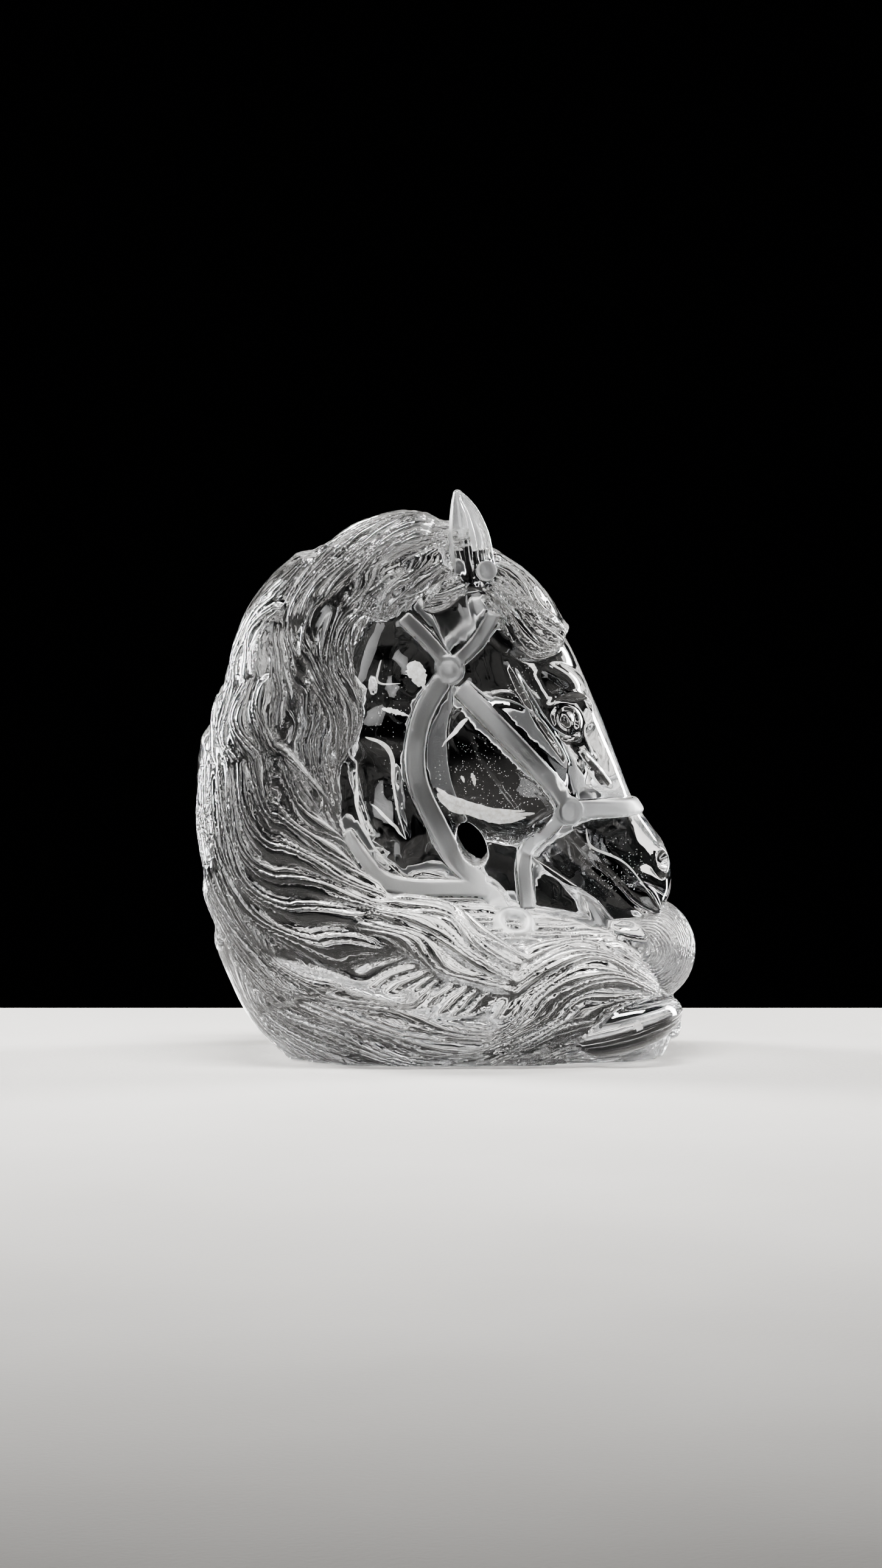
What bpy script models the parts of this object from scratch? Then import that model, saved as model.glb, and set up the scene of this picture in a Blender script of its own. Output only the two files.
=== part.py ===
"""Horse head carved from one block of clear rock crystal, its mane swept round under it as the base.

Metres, +Z up, the nose towards +X. The pose and the carving are shares of the height and the depth: the
guides below are in hundredths of the height, measured from the middle of the foot.
"""

import math

import bmesh
import bpy
import numpy as np
from mathutils import Matrix, Quaternion, Vector
from mathutils.bvhtree import BVHTree

# Overall sizes
HEIGHT = 0.090
DEPTH = 0.045

# Bridle, each strap with its own width
CHEEK_STRAP = 0.0029
THROAT_STRAP = 0.0031
CROWN_STRAP = 0.0022
BROW_STRAP = 0.0020
NOSE_STRAP = 0.0026
JAW_STRAP = 0.0021
REIN = 0.0025
STRAP_RISE = 0.0011
STRAP_ROOT = 0.0012
STRAP_SQUARENESS = 0.6
BOSS_RADIUS = 0.0022
BOSS_RISE = 0.0013
EAR_BOSS_RADIUS = 0.0015
EAR_BOSS_RISE = 0.0008
BIT_RING_RADIUS = 0.0024
BIT_RING_WIRE = 0.0010

# Opening under the jowl
HOLE_LENGTH = 0.0074
HOLE_WIDTH = 0.0040
HOLE_SLANT = math.radians(-25)

# Relief
EYE_RADIUS = 0.0013
LID_WIDTH = 0.0007
LID_ROUND = 0.7
LID_LENGTH = 1.4
LID_SLANT = math.radians(-35)
SHEAF_RISE = 0.0016
LOCK_DEPTH = 0.0017
FORELOCK_RISE = 0.0016
COAT_FURROW = 0.0010

# Fineness of the facets
TRIANGLES = 9700
VOXEL = HEIGHT / 170
FORM_VOXEL = 1.3

UNIT = HEIGHT / 100
GUIDE_DEPTH = 50
ACROSS = DEPTH / GUIDE_DEPTH
SEED = 7

# Facets round each form
MANE_STEPS, MANE_AROUND = 250, 150
HEAD_STEPS, HEAD_AROUND = 120, 96
NECK_STEPS, NECK_AROUND = 40, 64
CURL_STEPS, CURL_AROUND = 40, 48
EAR_STEPS, EAR_AROUND = 24, 32
STRAP_STEPS, STRAP_AROUND = 28, 16
NOSEBAND_STEPS = 61
DOME_STEPS = 4
ROUND_FACETS = 40
HIDDEN = 1e6
WELD = 1e-6

# Mane from the poll round to the curl: inner edge x z, outer edge x z, half depth
MANE = (
    (2.4, 83.7, 0.3, 94.6, 8.5),
    (-4.9, 80.5, -9.2, 95.0, 10.5),
    (-10.3, 77.8, -18.4, 92.6, 12.5),
    (-14.6, 74.1, -27.8, 86.0, 14.5),
    (-15.7, 67.0, -34.6, 78.0, 16.0),
    (-14.6, 60.5, -39.6, 67.0, 17.5),
    (-17.8, 53.0, -42.3, 56.2, 19.0),
    (-17.3, 43.2, -43.6, 42.2, 20.5),
    (-14.6, 34.6, -43.0, 29.2, 21.5),
    (-8.1, 30.3, -38.6, 16.6, 22.5),
    (0.0, 29.2, -32.0, 4.5, 23.0),
    (7.0, 27.6, -19.5, -4.5, 23.0),
    (14.6, 25.9, -2.5, -6.0, 22.5),
    (22.2, 24.3, 13.5, -6.0, 21.5),
    (29.7, 21.6, 27.0, -5.0, 19.5),
    (34.6, 17.8, 36.6, -2.0, 15.5),
    (37.0, 13.0, 39.8, 2.5, 10.0),
)
RIM_SQUARENESS = 2.4
NECK_EDGE_SQUARENESS = 3.6

# Head from poll to lips: nose line x z, jaw line x z, half widths at nose, middle and jaw
HEAD = (
    (5.9, 89.2, -4.9, 77.8, 7.0, 9.0, 9.0),
    (13.5, 84.3, -4.9, 65.9, 10.0, 11.0, 10.0),
    (20.5, 74.6, -4.9, 54.1, 11.5, 12.5, 11.0),
    (24.9, 65.4, -3.2, 45.4, 12.0, 13.0, 11.5),
    (27.8, 58.4, 1.1, 40.0, 10.5, 12.5, 11.0),
    (30.3, 51.9, 8.1, 37.3, 8.5, 11.0, 10.0),
    (32.8, 45.4, 13.0, 33.5, 7.4, 9.5, 8.0),
    (35.7, 41.1, 18.4, 28.6, 7.0, 8.5, 7.0),
    (38.4, 37.3, 23.2, 24.9, 7.6, 8.2, 6.4),
    (39.7, 33.0, 28.6, 22.2, 8.0, 8.0, 6.2),
    (39.5, 28.6, 33.5, 21.6, 7.2, 7.2, 5.5),
    (38.2, 26.6, 35.7, 22.9, 4.5, 5.0, 4.0),
)
WIDTH_PLACES = (0.12, 0.5, 0.88)
FACE_SQUARENESS = 0.62

# Neck between mane and jowl, foot to crown: centre x z, half thickness in profile, half depth
NECK = (
    (-10.0, 12.0, 19.0, 16.5),
    (-11.0, 30.0, 18.0, 15.2),
    (-11.0, 48.0, 15.5, 13.8),
    (-9.5, 63.0, 13.0, 12.6),
    (-5.5, 73.5, 12.0, 10.2),
    (-1.0, 80.0, 8.5, 7.0),
)
NECK_SQUARENESS = 3.4

# Thin web of stone that joins jaw, throat and base, and the opening's middle in it
WEB = ((-10, 52), (0, 44), (10, 40), (22, 32), (31, 26), (30, 16), (0, 22), (-12, 24))
WEB_HALF_DEPTH = 8.0
HOLE_PLACE = (4.3, 37.8)

# Ear: centre x z, half width in profile, half thickness, from root to tip
EAR = (
    (5.0, 83.0, 4.0, 3.0),
    (4.5, 87.5, 3.9, 2.9),
    (3.9, 91.5, 3.7, 2.5),
    (3.1, 95.2, 2.9, 2.0),
    (2.2, 98.0, 1.7, 1.3),
    (1.7, 99.4, 0.8, 0.7),
)
EAR_SIDE = 7.6

# Curl in front of the lips: centre x z, half thickness, half depth, offset to the far side
CURL = (
    (27.0, 13.0, 6.0, 13.0, 1.0),
    (33.5, 13.4, 5.8, 12.5, 1.0),
    (37.8, 15.8, 5.6, 12.0, 1.0),
    (38.9, 19.6, 5.2, 11.0, 1.0),
    (36.8, 23.0, 4.4, 9.0, 1.0),
    (32.5, 23.5, 3.0, 7.0, 0.5),
)

# Smooth lobes at the foot: centre x y z, radii, tilt
LOBES = (
    ((30.2, -12.0, 6.4), (11.4, 10.5, 5.4), math.radians(-15)),
    ((29.0, 11.0, 6.4), (11.4, 10.0, 5.4), math.radians(-15)),
    ((-26.8, 6.0, 9.6), (9.6, 10.5, 9.6), 0.0),
    ((31.5, 0.5, 20.5), (6.0, 10.0, 5.0), 0.0),
)

# Sheaves of hair on the mane: locks in it, then its first and last lock as places along and across the mane.
# Across runs from -1 at the neck edge to 1 at the rim, and past 1 it is over the rim.
SHEAVES = (
    (2, ((2.6, 1.20), (3.6, 1.05), (4.6, 0.92), (5.4, 0.70)),
        ((2.4, 0.75), (3.4, 0.55), (4.4, 0.45), (5.3, 0.30))),
    (3, ((5.8, 1.15), (6.8, 1.00), (7.9, 0.90), (9.4, 0.84)),
        ((5.6, 0.55), (6.8, 0.35), (8.0, 0.20), (9.3, 0.05))),
    (3, ((8.2, 1.22), (9.4, 1.10), (10.8, 1.02), (12.4, 0.97)),
        ((8.6, 0.75), (9.8, 0.60), (11.0, 0.45), (12.2, 0.40))),
    (5, ((0.1, 1.10), (1.4, 0.98), (2.6, 0.80), (3.9, 0.55)),
        ((0.5, 0.35), (1.6, -0.05), (2.5, -0.45), (3.7, -0.62))),
    (4, ((0.3, 0.30), (1.2, -0.05), (1.9, -0.50), (2.6, -0.92)),
        ((0.0, -0.70), (0.5, -0.80), (1.0, -0.88), (1.6, -0.97))),
    (4, ((3.0, 0.35), (4.2, 0.10), (5.2, -0.40), (6.5, -0.93)),
        ((2.2, -0.75), (3.2, -0.80), (4.4, -0.93), (5.6, -0.95))),
    (2, ((3.4, 0.80), (4.2, 0.98), (5.0, 0.92), (5.5, 0.62)),
        ((3.5, 0.40), (4.1, 0.60), (4.6, 0.62), (4.9, 0.45))),
    (4, ((5.2, 0.95), (5.8, 0.95), (6.5, 0.80), (7.2, 0.50)),
        ((4.6, 0.35), (5.3, 0.10), (6.0, -0.35), (6.8, -0.85))),
    (6, ((6.3, 0.88), (7.6, 0.72), (9.0, 0.40), (10.4, -0.30)),
        ((5.9, 0.00), (6.7, -0.52), (7.4, -0.88), (8.6, -0.97))),
    (3, ((7.6, 0.97), (9.2, 0.85), (10.2, 0.40), (11.4, -0.10)),
        ((7.4, 0.68), (8.7, 0.52), (9.6, 0.05), (10.5, -0.45))),
    (4, ((9.0, -0.25), (10.2, -0.28), (11.4, -0.22), (12.9, -0.05)),
        ((8.9, -0.92), (10.2, -0.93), (11.4, -0.80), (12.8, -0.50))),
    (5, ((9.4, 0.98), (10.6, 0.92), (11.9, 0.90), (13.5, 0.55)),
        ((9.8, 0.20), (10.8, 0.00), (11.9, 0.05), (13.3, -0.20))),
    (4, ((12.2, 0.70), (13.2, 0.40), (14.3, 0.00), (15.6, -0.25)),
        ((12.0, -0.75), (13.2, -0.88), (14.4, -0.85), (15.5, -0.70))),
)
LOCK_WAVE = 0.28
LOCK_WAVES = 7.5
LOCK_SHARPNESS = 0.85
SHEAF_FADE = 0.14
SHEAF_EDGE = 0.5
SHEAF_EDGE_RISE = 0.35
FAR_SIDE_SHIFT = 0.25
FURROWS_ROUND_SIDE = 9
COAT_DRIFT = 0.3
COAT_WAVE = 0.10
COAT_WAVES = 1.7

# Forelock on the forehead, its first and last lock as places in profile
FORELOCK = (
    (6, ((3.5, 90.5), (10.0, 91.0), (16.5, 87.0), (20.6, 80.5), (20.6, 74.0)),
        ((6.0, 81.0), (8.6, 75.7), (11.4, 72.2), (15.7, 70.4), (19.6, 71.6))),
    (3, ((0.0, 84.5), (4.0, 86.0), (9.0, 84.5), (14.0, 80.0), (19.5, 75.5)),
        ((-7.0, 77.6), (-1.0, 79.0), (3.0, 82.0), (8.0, 82.0), (13.5, 77.5))),
)
FORELOCK_GRAIN = 0.3
FORELOCK_WRAP = -0.3

# Features of the face in profile: place, radii, tilt, rise, fullness of the slope
BROW = ((20.3, 66.4), (4.6, 2.8), math.radians(-35), 1.5, 1.0)
FORELOCK_SWELL = ((12.5, 80.5), (8.5, 11.0), math.radians(30), 1.6, 0.6)
JOWL = ((8.1, 50.2), (13.0, 13.0), 0.0, 2.2, 0.5)
NOSTRIL = ((37.7, 34.6), (1.7, 3.3), math.radians(12), 0.8, 1.0)
NOSTRIL_HOLLOW = ((37.7, 34.6), (0.95, 1.8), math.radians(12), -1.6, 1.0)
LIP = ((34.6, 28.6), (4.2, 2.6), math.radians(-35), 0.7, 1.0)
CHIN = ((29.0, 25.6), (3.6, 2.4), math.radians(-20), 0.6, 1.0)
EYE_PLACE = (21.0, 59.8)
CHEEK_RIDGE = ((10.2, 71.1), (13.1, 65.1), (15.5, 60.8), (18.6, 55.9), (22.0, 50.5))
MOUTH = ((37.6, 24.6), (33.0, 27.0), (28.6, 31.4), (24.9, 34.6))
RIDGE_HALF_WIDTH = 1.3
RIDGE_RISE = 1.0
MOUTH_HALF_WIDTH = 0.8
MOUTH_DEPTH = -1.0

# Straps in profile
CHEEKPIECE = ((2.4, 65.3), (10.3, 57.3), (18.1, 48.9), (20.4, 45.2))
THROATLATCH = (
    (-1.0, 66.6), (-3.4, 63.0), (-5.3, 58.0), (-5.8, 52.0), (-4.6, 47.0), (-2.4, 42.6),
    (-0.2, 38.2), (2.4, 34.0), (6.0, 30.9),
)
CROWNPIECE = ((-7.6, 77.6), (-4.0, 74.1), (-1.0, 70.6), (0.4, 68.4))
BROWBAND = ((0.8, 69.2), (4.3, 72.4), (6.6, 75.6), (8.2, 78.6))
JAW_PIECE = ((20.0, 43.0), (17.8, 40.6), (14.2, 37.4), (13.4, 33.8), (13.8, 30.0), (14.0, 26.5))
REIN_LINE = ((-18.0, 40.0), (-14.8, 35.5), (-11.5, 32.0), (-6.0, 30.6), (2.0, 30.4), (7.0, 29.4), (9.4, 26.4))
NOSEBAND_MIDDLE = (23.0, 0.0, 44.0)
NOSEBAND_TURN = math.radians(98)
BOSSES = ((0.4, 68.4), (21.1, 43.8))
EAR_BOSS = (6.7, 85.8)
BIT_RING = (11.6, 24.4)


def place(x, y, z):
    """A guide place as metres."""
    return Vector((x * UNIT, y * ACROSS, z * UNIT))


def blend(rows, t):
    """Rows of numbers read smoothly at fractional row numbers."""
    rows = np.asarray(rows, float)
    last = len(rows) - 1
    t = np.clip(np.asarray(t, float), 0, last)
    i = np.minimum(t.astype(int), last - 1)
    f = (t - i)[..., None]
    before, here, after = rows[np.maximum(i - 1, 0)], rows[i], rows[i + 1]
    beyond = rows[np.minimum(i + 2, last)]
    steady = 2 * before - 5 * here + 4 * after - beyond
    turning = 3 * here - before - 3 * after + beyond
    return 0.5 * (2 * here + (after - before) * f + steady * f**2 + turning * f**3)


def smooth_step(share):
    """Nought below 0, one above 1 and a soft rise between."""
    share = np.clip(share, 0, 1)
    return share * share * (3 - 2 * share)


def path_through(points, count):
    """A smooth path of evenly read places through a few guide points."""
    return blend(points, np.linspace(0, len(points) - 1, count))


def domed(rings, start, end):
    """The same rings with a round end of the given length added at each end."""
    middles = rings.mean(axis=1)
    first, last = [], []
    for ends, ring, middle, way, length in (
        (first, rings[0], middles[0], middles[0] - middles[1], start),
        (last, rings[-1], middles[-1], middles[-1] - middles[-2], end),
    ):
        way = way / np.linalg.norm(way)
        for step in range(1, DOME_STEPS + 1):
            turn = math.pi / 2 * step / (DOME_STEPS + 0.5)
            ends.append(middle + (ring - middle) * math.cos(turn) + way * length * math.sin(turn))
    return np.concatenate([np.array(first[::-1]), rings, np.array(last)])


class Skin:
    """A closed run of rings whose surface is raised and sunk by locks, bulges and lines."""

    def __init__(self, rings):
        self.base = rings
        along = np.gradient(rings, axis=0)
        around = (np.roll(rings, -1, axis=1) - np.roll(rings, 1, axis=1)) / 2
        normal = np.cross(along, around)
        normal /= np.maximum(np.linalg.norm(normal, axis=2, keepdims=True), 1e-12)
        outward = np.einsum("abi,abi->", normal, rings - rings.mean(axis=1, keepdims=True))
        self.normal = normal * np.sign(outward)
        self.rise = np.zeros(rings.shape[:2])

    def trace(self, guide, side, count=32):
        """A path on the skin seen at places in profile, from the near side (-1) or the far side (+1)."""
        seen = []
        hidden = self.normal[..., 1] * side < 0.05
        for x, z in path_through(guide, count):
            away = ((self.base[..., [0, 2]] - (x * UNIT, z * UNIT)) ** 2).sum(axis=2)
            point = self.base[np.unravel_index(np.where(hidden, np.inf, away).argmin(), away.shape)]
            seen.append((x * UNIT, point[1], z * UNIT))
        path = np.array(seen)
        for _ in range(4):
            path[1:-1, 1] = (path[:-2, 1] + 2 * path[1:-1, 1] + path[2:, 1]) / 4
        return path

    def near_path(self, centres, reach):
        """The distance across a path and the share along it, for every skin point within reach."""
        low, high = centres.min(axis=0) - reach, centres.max(axis=0) + reach
        rows, columns = np.nonzero(((self.base > low) & (self.base < high)).all(axis=2))
        points, normals = self.base[rows, columns], self.normal[rows, columns]
        away = ((points[:, None, :] - centres[None, :, :]) ** 2).sum(axis=2)
        step = away.argmin(axis=1)
        tangent = np.gradient(centres, axis=0)
        tangent /= np.linalg.norm(tangent, axis=1, keepdims=True)
        offset = points - centres[step]
        across = np.einsum("ai,ai->a", offset, np.cross(normals, tangent[step]))
        depth = np.abs(np.einsum("ai,ai->a", offset, normals))
        spacing = np.linalg.norm(np.gradient(centres, axis=0), axis=1)[step]
        along = (step + np.einsum("ai,ai->a", offset, tangent[step]) / spacing) / (len(centres) - 1)
        near = (along > 0) & (along < 1) & (depth < reach)
        return rows[near], columns[near], across[near], along[near]

    def line(self, centres, half_width, rise):
        """Adds a ridge, or a groove if the rise is negative, that fades at both ends."""
        rows, columns, across, along = self.near_path(centres, half_width * 3)
        share = np.clip(np.abs(across) / half_width, 0, 1)
        fade = np.minimum(1, 5 * along) * np.minimum(1, 5 * (1 - along))
        self.rise[rows, columns] += rise * (1 + np.cos(math.pi * share)) / 2 * fade

    def lay_sheaf(self, across, along, locks, rise, phase):
        """Lays a raised sheaf of wavy locks over what is there. Places outside it are nan."""
        inside = np.isfinite(across)
        q, t = across[inside], along[inside]
        edge = smooth_step(np.minimum(q, 1 - q) * locks / SHEAF_EDGE)
        weight = edge * smooth_step(t / SHEAF_FADE) * smooth_step((1 - t) / SHEAF_FADE)
        lock = q * locks + LOCK_WAVE * edge * np.sin(LOCK_WAVES * t + phase)
        scallop = np.abs(np.sin(math.pi * lock)) ** LOCK_SHARPNESS
        round_back = np.sqrt(4 * q * (1 - q))
        height = rise * (SHEAF_EDGE_RISE + (1 - SHEAF_EDGE_RISE) * round_back) + LOCK_DEPTH * (scallop - 1)
        self.rise[inside] = self.rise[inside] * (1 - weight) + height * weight

    def bulge(self, middle, radii, tilt, rise, power, side):
        """Adds an oval swelling, or a hollow if the rise is negative, on one side."""
        offset = self.base[..., [0, 2]] - np.array([middle[0] * UNIT, middle[1] * UNIT])
        cosine, sine = math.cos(tilt), math.sin(tilt)
        first = (offset[..., 0] * cosine + offset[..., 1] * sine) / (radii[0] * UNIT)
        second = (offset[..., 1] * cosine - offset[..., 0] * sine) / (radii[1] * UNIT)
        share = np.clip(1 - first**2 - second**2, 0, 1) ** power
        facing = np.clip(self.normal[..., 1] * side * 4, 0, 1)
        self.rise += rise * UNIT * share * facing

    def mesh(self, name):
        """The raised skin as a closed mesh object, each end closed to its middle."""
        rings = self.base + self.normal * self.rise[..., None]
        return ring_mesh(name, rings)


def ring_mesh(name, rings):
    """A closed mesh object through rings of equal count, which differ in shape."""
    count, around = rings.shape[:2]
    index = np.arange(count * around).reshape(count, around)
    right = np.roll(index, -1, axis=1)
    quads = np.stack([index[:-1], right[:-1], right[1:], index[1:]], axis=2).reshape(-1, 4)
    start, end = count * around, count * around + 1
    faces = quads.tolist()
    faces += [(start, right[0, i], index[0, i]) for i in range(around)]
    faces += [(end, index[-1, i], right[-1, i]) for i in range(around)]
    points = np.concatenate([rings.reshape(-1, 3), [rings[0].mean(axis=0)], [rings[-1].mean(axis=0)]])
    mesh = bpy.data.meshes.new(name)
    mesh.from_pydata(points.tolist(), [], [tuple(int(corner) for corner in face) for face in faces])
    work = bmesh.new()
    work.from_mesh(mesh)
    bmesh.ops.recalc_face_normals(work, faces=work.faces)
    work.to_mesh(mesh)
    work.free()
    return bpy.data.objects.new(name, mesh)


def oval_rings(rows, around, offsets, square):
    """Rings across a path in profile: each row gives centre x z, half thickness in profile, half depth."""
    rows = np.asarray(rows, float)
    way = np.gradient(rows[:, :2], axis=0)
    way /= np.linalg.norm(way, axis=1, keepdims=True)
    lift = np.stack([-way[:, 1], way[:, 0]], axis=1)
    angle = np.linspace(0, 2 * math.pi, around, endpoint=False)
    out = np.sign(np.cos(angle)) * np.abs(np.cos(angle)) ** (2 / square)
    aside = np.sign(np.sin(angle)) * np.abs(np.sin(angle)) ** (2 / square)
    rings = np.empty((len(rows), around, 3))
    rings[..., 0] = (rows[:, 0, None] + lift[:, 0, None] * rows[:, 2, None] * out) * UNIT
    rings[..., 2] = (rows[:, 1, None] + lift[:, 1, None] * rows[:, 2, None] * out) * UNIT
    rings[..., 1] = (rows[:, 3, None] * aside + offsets[:, None]) * ACROSS
    return rings


def turn_of(across):
    """The turn round the mane's section for a place across it. Past the rim, over 1, the turn is negative."""
    across = np.asarray(across, float)
    inside = np.clip(np.where(across > 1, 2 - across, across), -1, 1)
    square = np.where(inside > 0, RIM_SQUARENESS, NECK_EDGE_SQUARENESS)
    turn = np.arccos(np.sign(inside) * np.abs(inside) ** (square / 2))
    return np.where(across > 1, -turn, turn)


def mane_place(along, turn, side):
    """A place on the plain mane: how far along it, the turn from rim to neck edge, and the side."""
    row = blend(MANE, along)
    square = np.where(np.cos(turn) > 0, RIM_SQUARENESS, NECK_EDGE_SQUARENESS)
    across = np.sign(np.cos(turn)) * np.abs(np.cos(turn)) ** (2 / square)
    depth = np.sign(np.sin(turn)) * np.abs(np.sin(turn)) ** (2 / square)
    x = (row[..., 0] + row[..., 2]) / 2 + (row[..., 2] - row[..., 0]) / 2 * across
    z = (row[..., 1] + row[..., 3]) / 2 + (row[..., 3] - row[..., 1]) / 2 * across
    y = side * row[..., 4] * depth
    return np.stack([x * UNIT, y * ACROSS, z * UNIT], axis=-1)


def spread(first, last, places, grain):
    """The share across and along a sheaf for places in its plane, nan outside it, between two guide paths."""
    first, last = np.asarray(first, float), np.asarray(last, float)
    size = np.ptp(np.concatenate([first, last]), axis=0)
    steps = int(3 * max(size / grain)) + 2
    along = np.linspace(0, 1, 2 * steps)
    across = np.linspace(0, 1, steps)
    start, end = path_through(first, 2 * steps), path_through(last, 2 * steps)
    grid = start[:, None, :] * (1 - across)[None, :, None] + end[:, None, :] * across[None, :, None]
    low = grid.reshape(-1, 2).min(axis=0)
    cells = np.floor((grid - low) / grain).astype(int)
    rows, columns = cells.reshape(-1, 2).max(axis=0) + 1
    index = (cells[..., 0] * columns + cells[..., 1]).ravel()
    count = np.bincount(index, minlength=rows * columns)
    shares = np.broadcast_arrays(across[None, :], along[:, None])
    totals = [np.bincount(index, weights=share.ravel(), minlength=rows * columns) for share in shares]
    seen = np.floor((places - low) / grain).astype(int)
    inside = (seen >= 0).all(axis=-1) & (seen[..., 0] < rows) & (seen[..., 1] < columns)
    seen_index = np.where(inside, seen[..., 0] * columns + seen[..., 1], 0)
    inside &= count[seen_index] > 0
    divisor = np.where(inside, count[seen_index], 1)
    return [np.where(inside, total[seen_index] / divisor, np.nan) for total in totals]


def comb_coat(skin):
    """Furrows the whole mane along its flow, which drifts from the rim to the neck edge, with a slow wave."""
    steps, around = skin.rise.shape
    along = np.linspace(0, len(MANE) - 1, steps)[:, None]
    turn = np.linspace(0, 2 * math.pi, around, endpoint=False)[None, :]
    turn = np.minimum(turn, 2 * math.pi - turn)
    flow = turn - COAT_DRIFT * along + COAT_WAVE * np.sin(COAT_WAVES * along + 2 * turn)
    skin.rise -= COAT_FURROW * (1 + np.cos(2 * FURROWS_ROUND_SIDE * flow)) / 2


def build_mane():
    """The mane with its sheaves of hair on both sides."""
    along = np.linspace(0, len(MANE) - 1, MANE_STEPS)
    turn = np.linspace(0, 2 * math.pi, MANE_AROUND, endpoint=False)
    rings = mane_place(along[:, None], turn[None, :], 1)
    skin = Skin(domed(rings, 3 * UNIT, 3 * UNIT))
    comb_coat(skin)
    wobble = np.random.default_rng(SEED)
    grain = np.array([along[1], turn[1]]) / 2
    reach = along[1] * np.arange(-DOME_STEPS, MANE_STEPS + DOME_STEPS)
    for side in (-1, 1):
        wrapped = (side * turn + math.pi) % (2 * math.pi) - math.pi
        places = np.stack(np.broadcast_arrays(reach[:, None], wrapped[None, :]), axis=-1)
        for locks, *guides in SHEAVES:
            first, last = [np.array(guide) for guide in guides]
            for guide in (first, last):
                guide[:, 0] += FAR_SIDE_SHIFT * (side > 0)
                guide[:, 1] = turn_of(guide[:, 1])
            across, along_sheaf = spread(first, last, places, grain)
            skin.lay_sheaf(across, along_sheaf, locks, SHEAF_RISE, wobble.uniform(0, 2 * math.pi))
    return skin.mesh("mane")


def build_head():
    """The head with brow, cheeks, nostrils, mouth and forelock, alike on both sides."""
    rows = blend(HEAD, np.linspace(0, len(HEAD) - 1, HEAD_STEPS))
    angle = np.linspace(0, 2 * math.pi, HEAD_AROUND, endpoint=False)
    share = (1 - np.cos(angle)) / 2
    width = np.stack([np.interp(share, WIDTH_PLACES, row[4:7]) for row in rows])
    rings = np.empty((HEAD_STEPS, HEAD_AROUND, 3))
    rings[..., 0] = (rows[:, 0, None] * (1 - share) + rows[:, 2, None] * share) * UNIT
    rings[..., 2] = (rows[:, 1, None] * (1 - share) + rows[:, 3, None] * share) * UNIT
    rings[..., 1] = -np.sign(np.sin(angle)) * np.abs(np.sin(angle)) ** FACE_SQUARENESS * width * ACROSS
    skin = Skin(domed(rings, 2.5 * UNIT, 1.2 * UNIT))
    for side in (-1, 1):
        for swelling in (JOWL, FORELOCK_SWELL, BROW, LIP, CHIN, NOSTRIL, NOSTRIL_HOLLOW):
            skin.bulge(*swelling, side)
        for points, half_width, rise in (
            (CHEEK_RIDGE, RIDGE_HALF_WIDTH, RIDGE_RISE),
            (MOUTH, MOUTH_HALF_WIDTH, MOUTH_DEPTH),
        ):
            skin.line(skin.trace(points, side), half_width * UNIT, rise * UNIT)
        seen = skin.normal[..., 1:2] * side > FORELOCK_WRAP
        profile = np.where(seen, skin.base[..., [0, 2]] / UNIT, -HIDDEN)
        for locks, first, last in FORELOCK:
            across, along = spread(first, last, profile, np.array([FORELOCK_GRAIN, FORELOCK_GRAIN]))
            skin.lay_sheaf(across, along, locks, FORELOCK_RISE, locks)
    return skin.mesh("head")


def build_neck():
    """The polished neck, which stands back from the mane's edge."""
    rows = path_through(NECK, NECK_STEPS)
    rings = oval_rings(rows, NECK_AROUND, np.zeros(len(rows)), NECK_SQUARENESS)
    return ring_mesh("neck", domed(rings, 2 * UNIT, 2 * UNIT))


def build_curl():
    """The lock that rolls up in front of the lips."""
    rows = path_through(CURL, CURL_STEPS)
    return ring_mesh("curl", domed(oval_rings(rows, CURL_AROUND, rows[:, 4], 2), 2 * UNIT, 3 * UNIT))


def build_ear(side):
    """One ear, a leaf that leans back, hollow in front."""
    rows = path_through(EAR, EAR_STEPS)
    rings = oval_rings(rows, EAR_AROUND, np.full(len(rows), side * EAR_SIDE), 2)
    return ring_mesh("ear", domed(rings, 1 * UNIT, 0.6 * UNIT))


def build_web():
    """The thin web of stone between jaw, throat and base."""
    curve = bpy.data.curves.new("web", "CURVE")
    curve.dimensions = "2D"
    curve.fill_mode = "BOTH"
    curve.extrude = WEB_HALF_DEPTH * ACROSS
    spline = curve.splines.new("POLY")
    spline.points.add(len(WEB) - 1)
    for point, (x, z) in zip(spline.points, WEB):
        point.co = (x * UNIT, z * UNIT, 0, 1)
    spline.use_cyclic_u = True
    flat = bpy.data.objects.new("web_outline", curve)
    bpy.context.scene.collection.objects.link(flat)
    flat.rotation_euler = (math.pi / 2, 0, 0)
    return solid_of_curve(flat, "web")


def solid_of_curve(curve_object, name):
    """The curve's solid as a mesh object, with its caps welded and the curve removed."""
    bpy.context.view_layer.update()
    graph = bpy.context.evaluated_depsgraph_get()
    mesh = bpy.data.meshes.new_from_object(curve_object.evaluated_get(graph))
    mesh.transform(curve_object.matrix_world)
    work = bmesh.new()
    work.from_mesh(mesh)
    bmesh.ops.remove_doubles(work, verts=work.verts, dist=WELD)
    bmesh.ops.recalc_face_normals(work, faces=work.faces)
    work.to_mesh(mesh)
    work.free()
    bpy.data.objects.remove(curve_object)
    return bpy.data.objects.new(name, mesh)


def build_lobe(middle, radii, tilt):
    """A smooth round lobe of the base."""
    bpy.ops.mesh.primitive_uv_sphere_add(
        segments=ROUND_FACETS, ring_count=ROUND_FACETS // 2, location=place(*middle)
    )
    lobe = bpy.context.active_object
    lobe.scale = (radii[0] * UNIT, radii[1] * ACROSS, radii[2] * UNIT)
    lobe.rotation_euler = (0, tilt, 0)
    return lobe


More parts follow.
